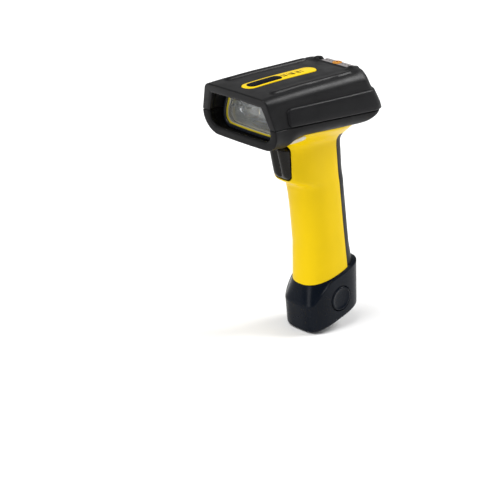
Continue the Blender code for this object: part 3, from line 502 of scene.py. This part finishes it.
def boot_rings():
    """A flare from the seam out to a crease, a wall, and a tight edge round the floor."""
    foot = oval(73.0, 118.8, 17.7, 2.5, SEAM_Z - 0.15, slope=SEAM_SLOPE)
    full = oval(BOOT_FRONT - 0.5, BOOT_REAR - 1.7, BOOT_HALF - 0.5, 3.0, 0.0, front_power=3.5)
    rings = [[(x * 0.97, BOOT_MIDDLE_Y + (y - BOOT_MIDDLE_Y) * 0.97, z) for x, y, z in foot]]
    for s in (0.0, 0.02, 0.06, 0.14, 0.24, 0.34, 0.44, 0.54, 0.64, 0.74, 0.83, 0.9, 0.94, 0.97, 1.0):
        ring = []
        for (x0, y0, z0), (x1, y1, _) in zip(foot, full):
            out = s ** 1.12 - 0.03 * max(0.0, (s - 0.9) / 0.1) ** 2
            y = y0 + (y1 - y0) * out
            ring.append((x0 + (x1 - x0) * out, y, z0 + SEAM_SLOPE * (y - y0) - crease_drop(y1) * s))
        rings.append(ring)
    crease = [(x, y, z - 0.5) for (_, _, z), (x, y, _) in zip(rings[-1], full)]
    low_z = BOOT_FLOOR_Z + FLOOR_EDGE
    front, rear, half = BOOT_FRONT + 3.6, BOOT_REAR + 0.7, BOOT_HALF - 0.1
    low = oval(front, rear, half, BOOT_POWER, low_z, slope=SEAM_SLOPE, front_power=BOOT_FRONT_POWER)
    for s in (0.0, 0.03, 0.08, 0.16, 0.26, 0.36, 0.46, 0.56, 0.66, 0.76, 0.86, 0.94, 1.0):
        rings.append([
            tuple(a + (b - a) * s for a, b in zip(p, q)) for p, q in zip(crease, low)
        ])
    for a in range(9, 91, 9):
        turn = math.radians(a)
        inset, z = FLOOR_INSET * (1 - math.cos(turn)), low_z - FLOOR_EDGE * math.sin(turn)
        rings.append(oval(front + inset, rear - inset, half - inset, BOOT_POWER, z, slope=SEAM_SLOPE,
                          front_power=BOOT_FRONT_POWER))
    return rings


# ------------------------------------------------------------------ materials
GRAIN_DEPTH = 0.03 * MM


class Paint:
    """A node material: procedural colour, gloss and grain on one Principled shader."""

    def __init__(self, name, roughness, metallic=0.0, specular=0.5, ior=1.5, transmission=0.0):
        self.material = bpy.data.materials.new(name)
        self.material.use_nodes = True
        self.tree = self.material.node_tree
        self.shader = next(n for n in self.tree.nodes if n.type == "BSDF_PRINCIPLED")
        for socket, value in (
            ("Roughness", roughness), ("Metallic", metallic), ("Specular IOR Level", specular),
            ("IOR", ior), ("Transmission Weight", transmission)
        ):
            self.shader.inputs[socket].default_value = value
        self.coordinates = self.tree.nodes.new("ShaderNodeTexCoord").outputs["Object"]

    def join(self, source, target):
        self.tree.links.new(source, target)

    def noise(self, scale, detail=3.0, roughness=0.5, stretch=(1, 1, 1)):
        mapping = self.tree.nodes.new("ShaderNodeMapping")
        mapping.inputs["Scale"].default_value = stretch
        self.join(self.coordinates, mapping.inputs["Vector"])
        made = self.tree.nodes.new("ShaderNodeTexNoise")
        made.inputs["Scale"].default_value = scale
        made.inputs["Detail"].default_value = detail
        made.inputs["Roughness"].default_value = roughness
        self.join(mapping.outputs["Vector"], made.inputs["Vector"])
        return made.outputs["Fac"]

    def colour(self, value, low, high):
        """Base colour that goes from low to high over the middle of a noise's range."""
        made = self.tree.nodes.new("ShaderNodeValToRGB")
        for element, at, colour in zip(made.color_ramp.elements, (0.3, 0.7), (low, high)):
            element.position = at
            element.color = (*colour, 1.0)
        self.join(value, made.inputs["Fac"])
        self.join(made.outputs["Color"], self.shader.inputs["Base Color"])

    def gloss(self, value, low, high):
        """Roughness that goes from low to high over the middle of a noise's range."""
        made = self.tree.nodes.new("ShaderNodeMapRange")
        for socket, number in (
            ("From Min", 0.35), ("From Max", 0.65), ("To Min", low), ("To Max", high)
        ):
            made.inputs[socket].default_value = number
        self.join(value, made.inputs["Value"])
        self.join(made.outputs["Result"], self.shader.inputs["Roughness"])

    def bump(self, value, strength, distance):
        made = self.tree.nodes.new("ShaderNodeBump")
        made.inputs["Strength"].default_value = strength
        made.inputs["Distance"].default_value = distance
        self.join(value, made.inputs["Height"])
        self.join(made.outputs["Normal"], self.shader.inputs["Normal"])


def shade(colour, by):
    return tuple(min(1.0, c * by) for c in colour)


def grained(name, colour, roughness, grain=2600.0, strength=0.25, vary=0.14, **look):
    """Moulded plastic or rubber: a fine grain, with slight changes of tone and gloss."""
    paint = Paint(name, roughness, **look)
    broad = paint.noise(38.0, 4.0, 0.55)
    paint.colour(broad, shade(colour, 1 - vary), shade(colour, 1 + vary))
    paint.gloss(paint.noise(90.0, 3.0), roughness - 0.04, roughness + 0.06)
    paint.bump(paint.noise(grain, 2.0, 0.6), strength, GRAIN_DEPTH)
    return paint.material


def metal(name, colour, roughness, stretch=(1, 1, 12)):
    paint = Paint(name, roughness, metallic=1.0)
    streak = paint.noise(420.0, 3.0, 0.5, stretch)
    paint.colour(streak, shade(colour, 0.86), shade(colour, 1.06))
    paint.gloss(streak, roughness - 0.06, roughness + 0.08)
    return paint.material


MOULDED = {
    "black_rubber": dict(colour=(0.0050, 0.0050, 0.0056), roughness=0.42, specular=0.19),
    "keel_rubber": dict(colour=(0.0042, 0.0042, 0.0046), roughness=0.45, specular=0.1),
    "pad_rubber": dict(colour=(0.0046, 0.0046, 0.0054), roughness=0.4, specular=0.17),
    "yellow_plastic": dict(colour=(0.745, 0.508, 0.0006), roughness=0.32, specular=0.09,
                           grain=1800.0, strength=0.12, vary=0.025),
    # The window frame's yellow: the housing's yellow plastic made paler and brighter, a painted
    # highlight on the frame.
    "lip_yellow": dict(colour=(0.90, 0.72, 0.03), roughness=0.36, strength=0.1, vary=0.03),
    "boot_plastic": dict(colour=(0.0016, 0.0034, 0.0074), roughness=0.26, specular=0.11,
                         strength=0.1),
    "trigger_plastic": dict(colour=(0.0052, 0.0044, 0.0032), roughness=0.24, specular=0.17,
                            strength=0.04),
    "black_plastic": dict(colour=(0.012, 0.012, 0.013), roughness=0.4),
    "bezel_plastic": dict(colour=(0.014, 0.018, 0.028), roughness=0.3),
    "inner_shell": dict(colour=(0.80, 0.74, 0.62), roughness=0.4, strength=0.1),
    "label_yellow": dict(colour=(0.78, 0.54, 0.004), roughness=0.34, specular=0.12,
                         strength=0.04, vary=0.03),
    "label_navy": dict(colour=(0.0025, 0.003, 0.006), roughness=0.45, specular=0.03, strength=0.04),
    "label_silver": dict(colour=(0.27, 0.25, 0.25), roughness=0.38, metallic=0.25, strength=0.06,
                         vary=0.1),
    "label_white": dict(colour=(0.50, 0.49, 0.45), roughness=0.4, specular=0.25, strength=0.04,
                        vary=0.04),
    "amber_lens": dict(colour=(0.50, 0.21, 0.02), roughness=0.2, specular=0.3, strength=0.03,
                       vary=0.3),
    "lens_core": dict(colour=(0.13, 0.012, 0.006), roughness=0.22, specular=0.3, strength=0.03),
    "board_green": dict(colour=(0.02, 0.16, 0.06), roughness=0.4, vary=0.25),
    "flex_orange": dict(colour=(0.65, 0.28, 0.04), roughness=0.34, vary=0.12),
    "battery_wrap": dict(colour=(0.05, 0.12, 0.30), roughness=0.3, strength=0.05),
    "seal_rubber": dict(colour=(0.02, 0.02, 0.021), roughness=0.7),
    "cast_metal": dict(colour=(0.60, 0.58, 0.56), roughness=0.42, metallic=0.6, strength=0.2),
}
METALS = {
    "mirror_silver": dict(colour=(0.85, 0.86, 0.88), roughness=0.12, stretch=(1, 1, 1)),
    "steel": dict(colour=(0.60, 0.60, 0.61), roughness=0.3),
    "brass": dict(colour=(0.76, 0.56, 0.24), roughness=0.3),
    "gold": dict(colour=(0.90, 0.68, 0.26), roughness=0.26),
    "copper": dict(colour=(0.74, 0.36, 0.18), roughness=0.36, stretch=(1, 22, 1)),
}


def glass_with_painted_reflection():
    # Real transmission, with a pale milky base colour: a painted reflection of the bright surroundings
    # that makes the window read light grey.
    glass = Paint("window_glass_look", 0.03, ior=1.62, transmission=0.8)
    glass.colour(glass.noise(60.0), (0.88, 0.92, 0.93), (0.95, 0.97, 0.97))
    return glass.material


def make_materials():
    made = {name: grained(f"{name}_look", **look) for name, look in MOULDED.items()}
    made.update({name: metal(f"{name}_look", **look) for name, look in METALS.items()})
    made["window_glass"] = glass_with_painted_reflection()
    return made


LOOK = make_materials()


# ------------------------------------------------------------------ head covers
def make_top():
    """The upper cover: beads and lip on top, and a recess, a plate seat and a hollow cut in."""
    points, faces = loft([upper_ring(t, 0.0, shrink) for t, shrink in outer_path()], True)
    top = piece("head_top_shell", recess_lip(with_ribs(points)), faces, None, None)
    hollow = cutter("cut_hollow", *loft([
        upper_ring(t, inset, base_z=-1.0, drop=through(RECESS_DROP, t)) for t, inset in hood_path()
    ], True))
    points, faces = rounded_box((2 * RECESS_HALF, 30, 10), (0, 0, 0), 1.2)
    points = [tuple(LABEL_LEAN @ Vector(p) + Vector((0, 109.3, 33.2))) for p in points]
    recess = cutter("cut_recess", points, faces)
    seat = cutter("cut_seat", *slab(6.35, PLATE_START, PLATE_END, -0.7, 4.0))
    carve(top, hollow, recess, seat)
    finish_shell(top, "scanner", LOOK["black_rubber"], ["top_overmold"])


def make_low():
    """The lower cover, with the opening that the grip's flared top passes through."""
    points, faces = loft([lower_ring(t, 0.0, shrink) for t, shrink in outer_path()], True)
    low = piece("head_lower_shell", points, faces, None, None)
    hollow = cutter("cut_low_hollow", *loft(
        [lower_ring(t, inset, base_z=1.0) for t, inset in hood_path()], True))
    ring = grip_level(GRIP_LEVELS[0][0], -0.25)
    belly = cutter("cut_belly", *loft([[(x, y, z + s) for x, y, z in ring] for s in (-14.0, 6.2)]))
    carve(low, hollow, belly)
    finish_shell(low, "scanner", LOOK["keel_rubber"], ["lower_overmold"])


def finish_shell(made, body, surface, nodes, soften=0.0, segments=2, limit=38.0, sharp=34.0):
    """Shading, an optional rounded edge, and the piece's place in the frame."""
    made.data.materials.clear()
    made.data.materials.append(surface)
    if soften:
        bevel = made.modifiers.new("edge", "BEVEL")
        bevel.width = soften * MM
        bevel.segments = segments
        bevel.limit_method = "ANGLE"
        bevel.angle_limit = math.radians(limit)
        bevel.use_clamp_overlap = True
    made.data.shade_smooth()
    made.data.set_sharp_from_angle(angle=math.radians(sharp))
    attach(made, body)
    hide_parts(*nodes)


def bumper_point(side, t, z, offset, across):
    """A point at height z on the head's wall, moved out by offset; across slides it to the middle."""
    base = through(BASE_HALF, t)
    top = through(TOP_HALF, t)
    wall = base + (top - base) * z / through(TOP_HEIGHT, t)
    x = side * wall * plan_scale(t, 0.0) * across
    lean = min(1.0, max(0.0, (t * HEAD_LENGTH - HEAD_LENGTH + REAR_CORNER) / REAR_CORNER))
    return (x + side * offset * math.sqrt(1 - lean**2), head_y(t, z) + offset * lean, z)


def round_the_rear():
    """(t, across) stations round a rear corner and along the rear face."""
    corner = [(BEND + (1 - BEND) * math.sin(math.radians(a)), 1.0) for a in range(6, 91, 6)]
    return corner + [(1.0, s) for s in (0.85, 0.7, 0.5, 0.3, 0.1)]


def make_bumper():
    """The U-shaped pad along both sides and round the rear, with a rounded outer edge."""
    sunk, foot, thick, edge_radius, tip_size, growth = -0.4, 0.12, 1.35, 0.95, 0.12, 0.012
    full_at = PAD_START + PAD_END_RUN
    stations = [(PAD_START + PAD_END_RUN * (1 - math.cos(math.radians(a))), 1.0)
                for a in range(0, 91, 10)]
    stations += [(full_at + (BEND - full_at) * i / 40, 1.0) for i in range(1, 41)]
    stations += round_the_rear()
    edge = [(thick - edge_radius * (1 - math.cos(a)), edge_radius * (1 - math.sin(a)))
            for a in map(math.radians, (90, 72, 54, 36, 18, 0))]
    rings = []
    for side, order in ((1, stations), (-1, reversed(stations))):
        for t, across in order:
            # In front the pad gets shorter and thinner, to a round end.
            short = 1 - math.sqrt(1 - min(1.0, max(0.0, (full_at - t) / PAD_END_RUN)) ** 2)
            low = 0.9 + 3.6 * short
            high = 12.6 + 3.0 * t - 3.0 * short
            size = min(1.0, tip_size + (t - PAD_START) / growth)
            bulge = [(foot + (offset - foot) * size, rise) for offset, rise in edge]
            flat = foot + (thick - foot) * size
            outline = [(low, sunk)]
            outline += [(low + rise, offset) for offset, rise in bulge]
            outline += [(low + (high - low) * s, flat) for s in (0.3, 0.5, 0.7)]
            outline += [(high - rise, offset) for offset, rise in reversed(bulge)]
            outline += [(high, sunk)]
            rings.append([bumper_point(side, t, z, offset, across) for z, offset in outline])
    piece("head_side_pad", *loft(rings), LOOK["pad_rubber"], "scanner", ["side_bumper"],
          "black_rubber", 40)


def make_parting_seal():
    """A thin strip inside the wall that closes the groove between the two covers."""
    section = ((-0.4, -1.7), (-0.4, -0.8), (0.4, -0.8), (0.4, -1.7))
    stations = [(RIM_END + (BEND - RIM_END) * i / 48, 1.0) for i in range(49)] + round_the_rear()
    rings = []
    for side, order in ((1, stations), (-1, reversed(stations))):
        for t, across in order:
            rings.append([bumper_point(side, t, z, offset, across) for z, offset in section])
    piece("head_parting_seal", *loft(rings), LOOK["keel_rubber"], "scanner", (), "black_rubber")


# ------------------------------------------------------------------ labels on the head
def make_name_plate():
    """The yellow plate in its seat, with a dark panel and a row of plain bars."""
    plate = slab(5.85, PLATE_START, PLATE_END, -0.5, 0.3, 0.28, 60)
    piece("top_plate", *plate, LOOK["label_yellow"], "scanner", ["name_plate"], "label_yellow", 30)
    panel = slab(4.1, 16.8, 39.0, 0.2, 0.42, 0.1, 30)
    piece("top_plate_panel", *panel, LOOK["label_navy"], "scanner", ["name_plate_inlay"],
          "label_navy", 30)
    for number, (y, length) in enumerate(((45.0, 0.7), (47.4, 1.5), (50.4, 0.7), (52.4, 0.7),
                                          (54.6, 2.0), (58.4, 0.7), (60.4, 1.4), (63.2, 0.7))):
        bar = rounded_box((4.4, length, 0.16), (0, y, top_z(0, y) + 0.3), 0.05, 1)
        piece(f"top_plate_bar_{number + 1}", *bar, LOOK["label_navy"], "scanner", (), "label_navy")


def make_rear_label():
    """A silver label on the recess's tilted floor, with an amber lens let into it and small dots."""
    label = piece("rear_label", *rounded_box((27.0, 5.8, 1.5), (0, 0, -0.5), 0.0), None, None)
    round_uprights(label, 0.9, 4)
    label.data.transform(Matrix.Translation(-place((0, 0, 0))))
    label.data.transform(Matrix.Translation(place(LABEL_MIDDLE)) @ LABEL_LEAN.to_4x4())
    seat = LABEL_MIDDLE + Vector((-0.6, 0, 0.2))
    hole = [(0, -3), (2.6, -3), (2.6, 3), (0, 3)]
    carve(label, cutter("cut_lens", *turned(hole, seat, LABEL_UP, 48)))
    finish_shell(label, "scanner", LOOK["label_silver"], ["indicator_label"], 0.08)
    dome = [(0, 0.78), (0.5, 0.77), (1.0, 0.72), (1.45, 0.62), (1.8, 0.47), (2.1, 0.27), (2.25, 0.05),
            (2.3, -0.2), (2.3, -0.4), (0, -0.4)]
    piece("rear_lens", *turned(dome, seat, LABEL_UP, 48), LOOK["amber_lens"],
          "scanner", ["indicator_lens"], "amber_lens")
    core = [(0, 0.93), (0.4, 0.91), (0.75, 0.82), (0.9, 0.68), (0.9, 0.45), (0, 0.45)]
    piece("rear_lens_core", *turned(core, seat, LABEL_UP, 32), LOOK["lens_core"],
          "scanner", (), "amber_lens")
    collar = [(2.35, -0.1), (2.35, 0.32), (2.6, 0.42), (3.3, 0.42), (3.55, 0.26), (3.55, -0.1)]
    piece("rear_lens_collar", *loft([
        [tuple(LABEL_LEAN @ Vector((r * math.cos(a), r * math.sin(a), h)) + seat) for a in circle(64)]
        for r, h in collar
    ], closed=True), LOOK["amber_lens"], "scanner", (), "amber_lens")
    profile = [(0, 0.12), (0.5, 0.1), (0.62, 0.0), (0.62, -0.1), (0, -0.1)]
    for number, x in enumerate((-11.0, -8.2, -5.4, 4.6, 7.6, 10.6)):
        dot = turned(profile, LABEL_MIDDLE + Vector((x, 0, 0.24)), LABEL_UP, 20)
        piece(f"rear_label_dot_{number + 1}", *dot, LOOK["black_plastic"], "scanner", (),
              "black_plastic")


def round_uprights(made, radius, segments):
    """Round a box's four upright edges."""
    work = bmesh.new()
    work.from_mesh(made.data)
    edges = [e for e in work.edges if abs(e.verts[0].co.z - e.verts[1].co.z) > 1e-6]
    bmesh.ops.bevel(work, geom=edges, offset=radius * MM, segments=segments, profile=0.5,
                    affect="EDGES", clamp_overlap=True)
    work.to_mesh(made.data)
    work.free()


def make_rating_label():
    """A paper label that lies on the slope of the flare, drawn as a thin skin on it."""
    columns, rows, corner, width = 40, 12, 1.6, 17.5
    rings = []
    for k in range(columns + 1):
        share = k / columns
        a = 92.0 + 24.0 * share
        end = min(share, 1 - share) * width / corner
        tuck = corner * (1 - math.sqrt(1 - (1 - min(1.0, end)) ** 2))
        high = -9.5 - tuck
        low = -22.6 + 9.0 * max(0.0, (a - 95.0) / 21.0) + tuck
        column = []
        for lift, steps in ((0.32, range(rows + 1)), (0.05, range(rows, -1, -1))):
            column += [on_grip(high + (low - high) * i / rows, a, lift) for i in steps]
        rings.append(column)
    piece("flare_label", *loft(rings), LOOK["label_white"], "scanner", ["rating_label"],
          "label_silver", 40)


def on_grip(z, a, lift):
    """A point on the grip at ring position a, lifted off the surface."""
    ring = grip_level(z, -lift)
    low = int(a) % RING_POINTS
    share = a - int(a)
    return tuple(p + (q - p) * share for p, q in zip(ring[low], ring[(low + 1) % RING_POINTS]))


# ------------------------------------------------------------------ scan window
def window_outline(inset, y):
    """The head's outline at the window, upper and lower halves joined."""
    upper = upper_ring(UPRIGHT_AT, inset, base_z=0.0)
    lower = lower_ring(UPRIGHT_AT, inset, base_z=0.0)
    ring = [(x, z) for x, _, z in upper] + [(x, z) for x, _, z in reversed(lower[1:-1])]
    return [(x, y, z) for x, z in ring]


def window_ring(name, profile, surface, nodes, slot):
    """A ring round the window; profile is (inset, y) points of its section."""
    piece(name, *loft([window_outline(i, y) for i, y in profile], closed=True), LOOK[surface],
          "scanner", nodes, slot, 30)


def make_window():
    # The yellow ring gets a brighter copy of the housing's yellow plastic: painted highlight.
    window_ring("window_bezel_ring", (
        (3.62, 20.35), (3.75, 20.2), (4.4, 20.05), (5.3, 20.2), (5.6, 20.5), (5.62, 21.4), (3.62, 21.4)
    ), "bezel_plastic", ["window_bezel"], "black_plastic")
    window_ring("window_yellow_ring", (
        (5.0, 21.7), (5.6, 21.6), (6.15, 21.6), (6.35, 21.8), (6.4, 22.4), (5.0, 22.6)
    ), "lip_yellow", ["window_frame"], "yellow_plastic")
    window_ring("window_sleeve", (
        (5.2, 22.7), (6.35, 22.45), (6.45, 22.6), (6.45, 23.3), (5.2, 23.3)
    ), "inner_shell", (), "yellow_plastic")
    glass = [window_outline(i, y) for i, y in ((5.6, 23.4), (5.45, 23.5), (5.4, 25.9), (5.6, 26.2))]
    piece("window_pane", *loft(glass), LOOK["window_glass"], "scanner", ["scan_window"], "window_glass")


# ------------------------------------------------------------------ grip and back cover
def grip_hollow():
    inner = [oval(30.0, 90.0, 24.0, 2.9, -6.0)]
    for i in range(41):
        z = -23.0 - 81.0 * i / 40
        front, rear, half, power = (grip_value(z, column) for column in range(1, 5))
        inner.append(oval(front + GRIP_WALL, rear - GRIP_WALL, half - GRIP_WALL, power, z))
    inner.append(oval(75.4, 116.2, 15.1, 2.4, -140.0))
    return cutter("cut_grip_hollow", *loft(inner))


def rear_slab(shift, top):
    """A cutter that takes in everything behind the raked line between grip and back cover."""
    side, depth, bottom = 40, 60, -140.0
    sections = []
    for z in (top, bottom):
        y = BACK_LINE_Y + BACK_LINE_SLOPE * (BACK_LINE_Z - z) + shift
        sections.append([(-side, y, z), (side, y, z), (side, y + depth, z), (-side, y + depth, z)])
    return cutter("cut_rear_slab", *loft(sections))


def make_grip():
    """The yellow housing and the black back strip, cut from one form along a raked line."""
    grip = piece("grip_shell", *loft(grip_rings()), None, None)
    slot = cutter("cut_trigger_slot", *rounded_box(
        (2 * TRIGGER_HALF + 1.2, 24.0, 27.4), (0, 50.0, -36.5), 4.2, 8))
    carve(grip, grip_hollow(), rear_slab(-0.28, -17.0), slot)
    finish_shell(grip, "scanner", LOOK["yellow_plastic"], ["handle_housing"],
                 0.22, limit=60)

    back = piece("grip_back_shell", *loft(grip_rings()), None, None)
    carve(back, rear_slab(0.0, -17.28), operation="INTERSECT")
    carve(back, grip_hollow())
    finish_shell(back, "scanner", LOOK["keel_rubber"], ["handle_back_cover"],
                 0.22, limit=60)


# ------------------------------------------------------------------ boot, latches and trigger
def make_boot():
    """The battery boot: hollow, with bores for the buttons and holes for the contacts."""
    boot = piece("boot_shell", *loft(boot_rings()), None, None)
    front, rear, half = BOOT_FRONT + BOOT_WALL, BOOT_REAR - BOOT_WALL, BOOT_HALF - BOOT_WALL
    inner = [
        oval(75.4, 116.4, 15.3, 2.5, SEAM_Z + 2.0, slope=SEAM_SLOPE),
        oval(front + 1.6, rear - 2.2, half - 0.9, 2.8, SEAM_Z - 7.0, slope=SEAM_SLOPE * 1.35),
        oval(front, rear - 0.6, half, BOOT_POWER, SEAM_Z - 14.6, slope=SEAM_SLOPE),
        oval(front + 0.4, rear, half, BOOT_POWER, BOOT_FLOOR_Z + 9.0, slope=SEAM_SLOPE),
        oval(front + 1.0, rear - 1.0, half - 0.3, BOOT_POWER, BOOT_FLOOR_Z + 4.6, slope=SEAM_SLOPE),
        oval(front + 3.0, rear - 4.0, half - 2.4, BOOT_POWER, BOOT_FLOOR_Z + 2.4, slope=SEAM_SLOPE),
    ]
    tools = [cutter("cut_boot_hollow", *loft(inner))]
    bore = [(0, -30), (BUTTON_RADIUS + 0.7, -30), (BUTTON_RADIUS + 0.7, 30), (0, 30)]
    tools.append(cutter("cut_button_bore", *turned(bore, (0, BUTTON_Y, BUTTON_Z), (1, 0, 0), 96)))
    hole = [(0, -4), (1.6, -4), (1.6, 4), (0, 4)]
    floor_z = BOOT_FLOOR_Z + SEAM_SLOPE * (CONTACT_Y - SEAM_MIDDLE_Y)
    for x in CONTACT_X:
        middle = Vector((x, CONTACT_Y, floor_z)) + FLOOR_NORMAL * 1.3
        tools.append(cutter("cut_contact", *turned(hole, middle, FLOOR_NORMAL, 32)))
    carve(boot, *tools)
    finish_shell(boot, "battery", LOOK["boot_plastic"], ["battery_boot"],
                 0.3, segments=3, limit=50)


def make_buttons():
    """Two dished buttons, each with a rounded rim, a flange inside the wall and a stem."""
    face, r, flange, stem = BOOT_HALF + 0.1, BUTTON_RADIUS, BUTTON_RADIUS + 1.1, 4.2
    dish = [(0, 1.0), (r * 0.3, 0.96), (r * 0.55, 0.82), (r * 0.72, 0.6), (r * 0.8, 0.32)]
    rim = [(r * 0.86, 0.08), (r - 1.0, 0), (r - 0.6, 0.06), (r - 0.25, 0.28), (r, 0.8)]
    inside = [(r, 3.4), (flange, 3.45), (flange, 4.2), (r, 4.25), (r, 5.0), (stem, 5.0), (stem, 8.6)]
    profile = [(radius, face - depth) for radius, depth in dish + rim + inside + [(0, 8.6)]]
    for side, name in ((1, "right"), (-1, "left")):
        body = turned(profile, (0, BUTTON_Y, BUTTON_Z), (side, 0, 0), 96)
        piece(f"latch_cap_{name}", *body, LOOK["boot_plastic"], f"latch_{name}",
              [f"latch_button_{name}"], "boot_plastic", 38)


def make_trigger():
    """A paddle with two half-round ridges down its front and a valley between them."""
    knots_front = ((TRIGGER_FOOT, 3.0), (-49.0, 1.9), (-48.4, 1.0), (-47.4, 0.4), (-45.6, 0.05),
                   (-43.0, 0.0), (-28.0, 0.0), (-26.6, 0.25), (-25.4, 1.0), (-24.7, 2.0),
                   (TRIGGER_TOP, 3.2))
    knots_half = ((TRIGGER_FOOT, 5.0), (-49.0, 6.2), (-48.2, 7.4), (-46.6, 8.2), (-44.6, TRIGGER_HALF),
                  (-28.0, TRIGGER_HALF), (-26.4, 8.1), (-25.2, 7.0), (TRIGGER_TOP, 5.2))
    knots_rear = ((TRIGGER_FOOT, 56.0), (-47.8, 57.0), (-45.0, 57.0), (-36.0, 57.5), (-28.0, 60.5),
                  (TRIGGER_TOP, 60.0))
    levels, fade, valley, ridge_at, ridge_half = 60, 4.0, 2.2, 0.55, 0.5
    rings = []
    for k in range(levels + 1):
        z = TRIGGER_FOOT + (TRIGGER_TOP - TRIGGER_FOOT) * (0.5 - 0.5 * math.cos(math.pi * k / levels))
        front = 39.4 + 0.33 * (-23.5 - z) + through(knots_front, z)
        rear, half = through(knots_rear, z), through(knots_half, z)
        ends = smooth((z - TRIGGER_FOOT) / fade) * smooth((TRIGGER_TOP - z) / fade)
        ring = []
        for x, y, _ in oval(front, rear, half, 4.2, z):
            bead = math.sqrt(max(0.0, 1 - ((abs(x) / half - ridge_at) / ridge_half) ** 2))
            on_front = smooth((front + 5.0 - y) / fade)
            ring.append((x, y + valley * (1 - bead) * on_front * ends, z))
        rings.append(ring)
    paddle = piece("trigger_paddle", *loft(rings), None, None)
    bore = [(0, -20), (1.6, -20), (1.6, 20), (0, 20)]
    tools = [
        cutter("cut_trigger_bore", *turned(bore, (0, 56.0, -26.5), (1, 0, 0), 48)),
        cutter("cut_trigger_pocket", *rounded_box((8.0, 12.0, 7.0), (0, 58.5, -44.5), 0.0)),
    ]
    carve(paddle, *tools)
    finish_shell(paddle, "trigger_body", LOOK["trigger_plastic"], ["trigger"],
                 sharp=38)


def coil(radius, length, turns, centre, axis, wire):
    """A helical spring's skin with flat closing turns, as points and faces."""
    per_turn, around = 18, 8
    a = Vector(axis).normalized()
    u = a.orthogonal().normalized()
    v = a.cross(u)
    steps = (turns + 2) * per_turn
    path = []
    for i in range(steps + 1):
        turn = i / per_turn
        rise = min(max((turn - 1) / turns, 0.0), 1.0)
        angle = 2 * math.pi * turn
        lift = rise * (length - 2 * wire) + wire - length / 2
        path.append(Vector(centre) + a * lift + (u * math.cos(angle) + v * math.sin(angle)) * radius)
    rings = []
    for i, p in enumerate(path):
        ahead = path[min(i + 1, steps)] - path[max(i - 1, 0)]
        out = p - Vector(centre)
        out = (out - a * out.dot(a)).normalized()
        up = ahead.normalized().cross(out).normalized()
        rings.append([tuple(p + (out * math.cos(t) + up * math.sin(t)) * wire) for t in circle(around)])
    return loft(rings)


def make_springs():
    y, z = 57.6, -44.2
    spring = piece("trigger_return_spring", *coil(2.2, 7.0, 4, (0, y, z), (0, 1, 0), 0.3),
                   LOOK["steel"], "scanner", ["trigger_spring"], "steel", 60)
    place((0, 61.4, z))
    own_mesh(spring)
    for side, name in ((1, "right"), (-1, "left")):
        middle = (side * 7.6, BUTTON_Y, BUTTON_Z)
        spring = piece(f"latch_return_spring_{name}", *coil(2.8, 6.0, 4, middle, (side, 0, 0), 0.35),
                       LOOK["steel"], "battery", [f"latch_spring_{name}"], "steel", 60)
        place((side * 4.4, BUTTON_Y, BUTTON_Z))
        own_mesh(spring)


# ------------------------------------------------------------------ carried-over CAD nodes
INNER_SHELLS = ("upper_housing", "lower_housing")


def dress_cad():
    """Give every CAD node that still shows its node material, from its record slot."""
    for name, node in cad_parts.items():
        for k, old in enumerate(node.data.materials):
            slot = old.name.split(".")[0]
            look = next(key for key in LOOK if slot.endswith(key))
            node.data.materials[k] = LOOK["inner_shell" if name in INNER_SHELLS else look]


# ------------------------------------------------------------------ stage
def make_floor():
    half = 4.0
    corners = [(-half, -half, 0), (half, -half, 0), (half, half, 0), (-half, half, 0)]
    sheet = bpy.data.meshes.new("floor")
    sheet.from_pydata(corners, [], [(0, 1, 2, 3)])
    paint = Paint("floor_look", 0.9, specular=0.1)
    paint.colour(paint.noise(3.0), (0.90, 0.90, 0.90), (0.92, 0.92, 0.92))
    sheet.materials.append(paint.material)
    add_object("floor", sheet)


def add_light(light, power, direction, spot=(0, 0, 0)):
    light.energy = power
    lamp = add_object(light.name, light)
    lamp.location = spot
    lamp.rotation_euler = direction.to_track_quat("-Z", "Y").to_euler()


def make_lights():
    """White surroundings, a broad sun from above the nose, and three soft boxes."""
    world = bpy.data.worlds.new("studio")
    bpy.context.scene.world = world
    world.use_nodes = True
    background = world.node_tree.nodes["Background"]
    background.inputs["Color"].default_value = (1.0, 1.0, 1.0, 1.0)
    background.inputs["Strength"].default_value = 0.3
    sun = bpy.data.lights.new("overhead", "SUN")
    sun.angle = math.radians(50)
    add_light(sun, 2.7, Vector((0.0, 0.75, -1.05)))
    for name, spot, size, power in (
        ("back_box", (0.55, 1.25, 1.25), 0.8, 27.0),
        ("far_box", (-1.25, 1.2, 0.72), 1.3, 1.0),
        ("front_box", (0.15, -1.5, 0.14), 0.5, 4.0),
    ):
        box = bpy.data.lights.new(name, "AREA")
        box.size = size
        add_light(box, power, Vector((0, 0, 0.12)) - Vector(spot), spot)


def make_camera():
    azimuth, elevation, roll = map(math.radians, (45.5, 18.0, 3.1))
    distance = 1.2
    target = place((0, 56, -75))
    back = Vector((
        math.sin(azimuth) * math.cos(elevation), -math.cos(azimuth) * math.cos(elevation),
        math.sin(elevation)
    ))
    right = Vector((math.cos(azimuth), math.sin(azimuth), 0))
    up = back.cross(right)
    turn = Matrix((right, up, back)).transposed() @ Matrix.Rotation(roll, 3, "Z")
    lens = bpy.data.cameras.new("camera")
    camera = add_object("camera", lens)
    camera.matrix_world = Matrix.Translation(target + back * distance) @ turn.to_4x4()
    lens.sensor_width = 36.0
    lens.lens = 120.96
    lens.shift_x = -0.0734
    lens.shift_y = -0.0772
    lens.clip_start = 0.05
    lens.clip_end = 20.0
    bpy.context.scene.camera = camera
    bpy.context.scene.view_settings.view_transform = "Standard"


make_top()
make_low()
make_bumper()
make_parting_seal()
make_name_plate()
make_rear_label()
make_rating_label()
make_window()
make_grip()
make_boot()
make_buttons()
make_trigger()
make_springs()
dress_cad()
make_floor()
make_lights()
make_camera()
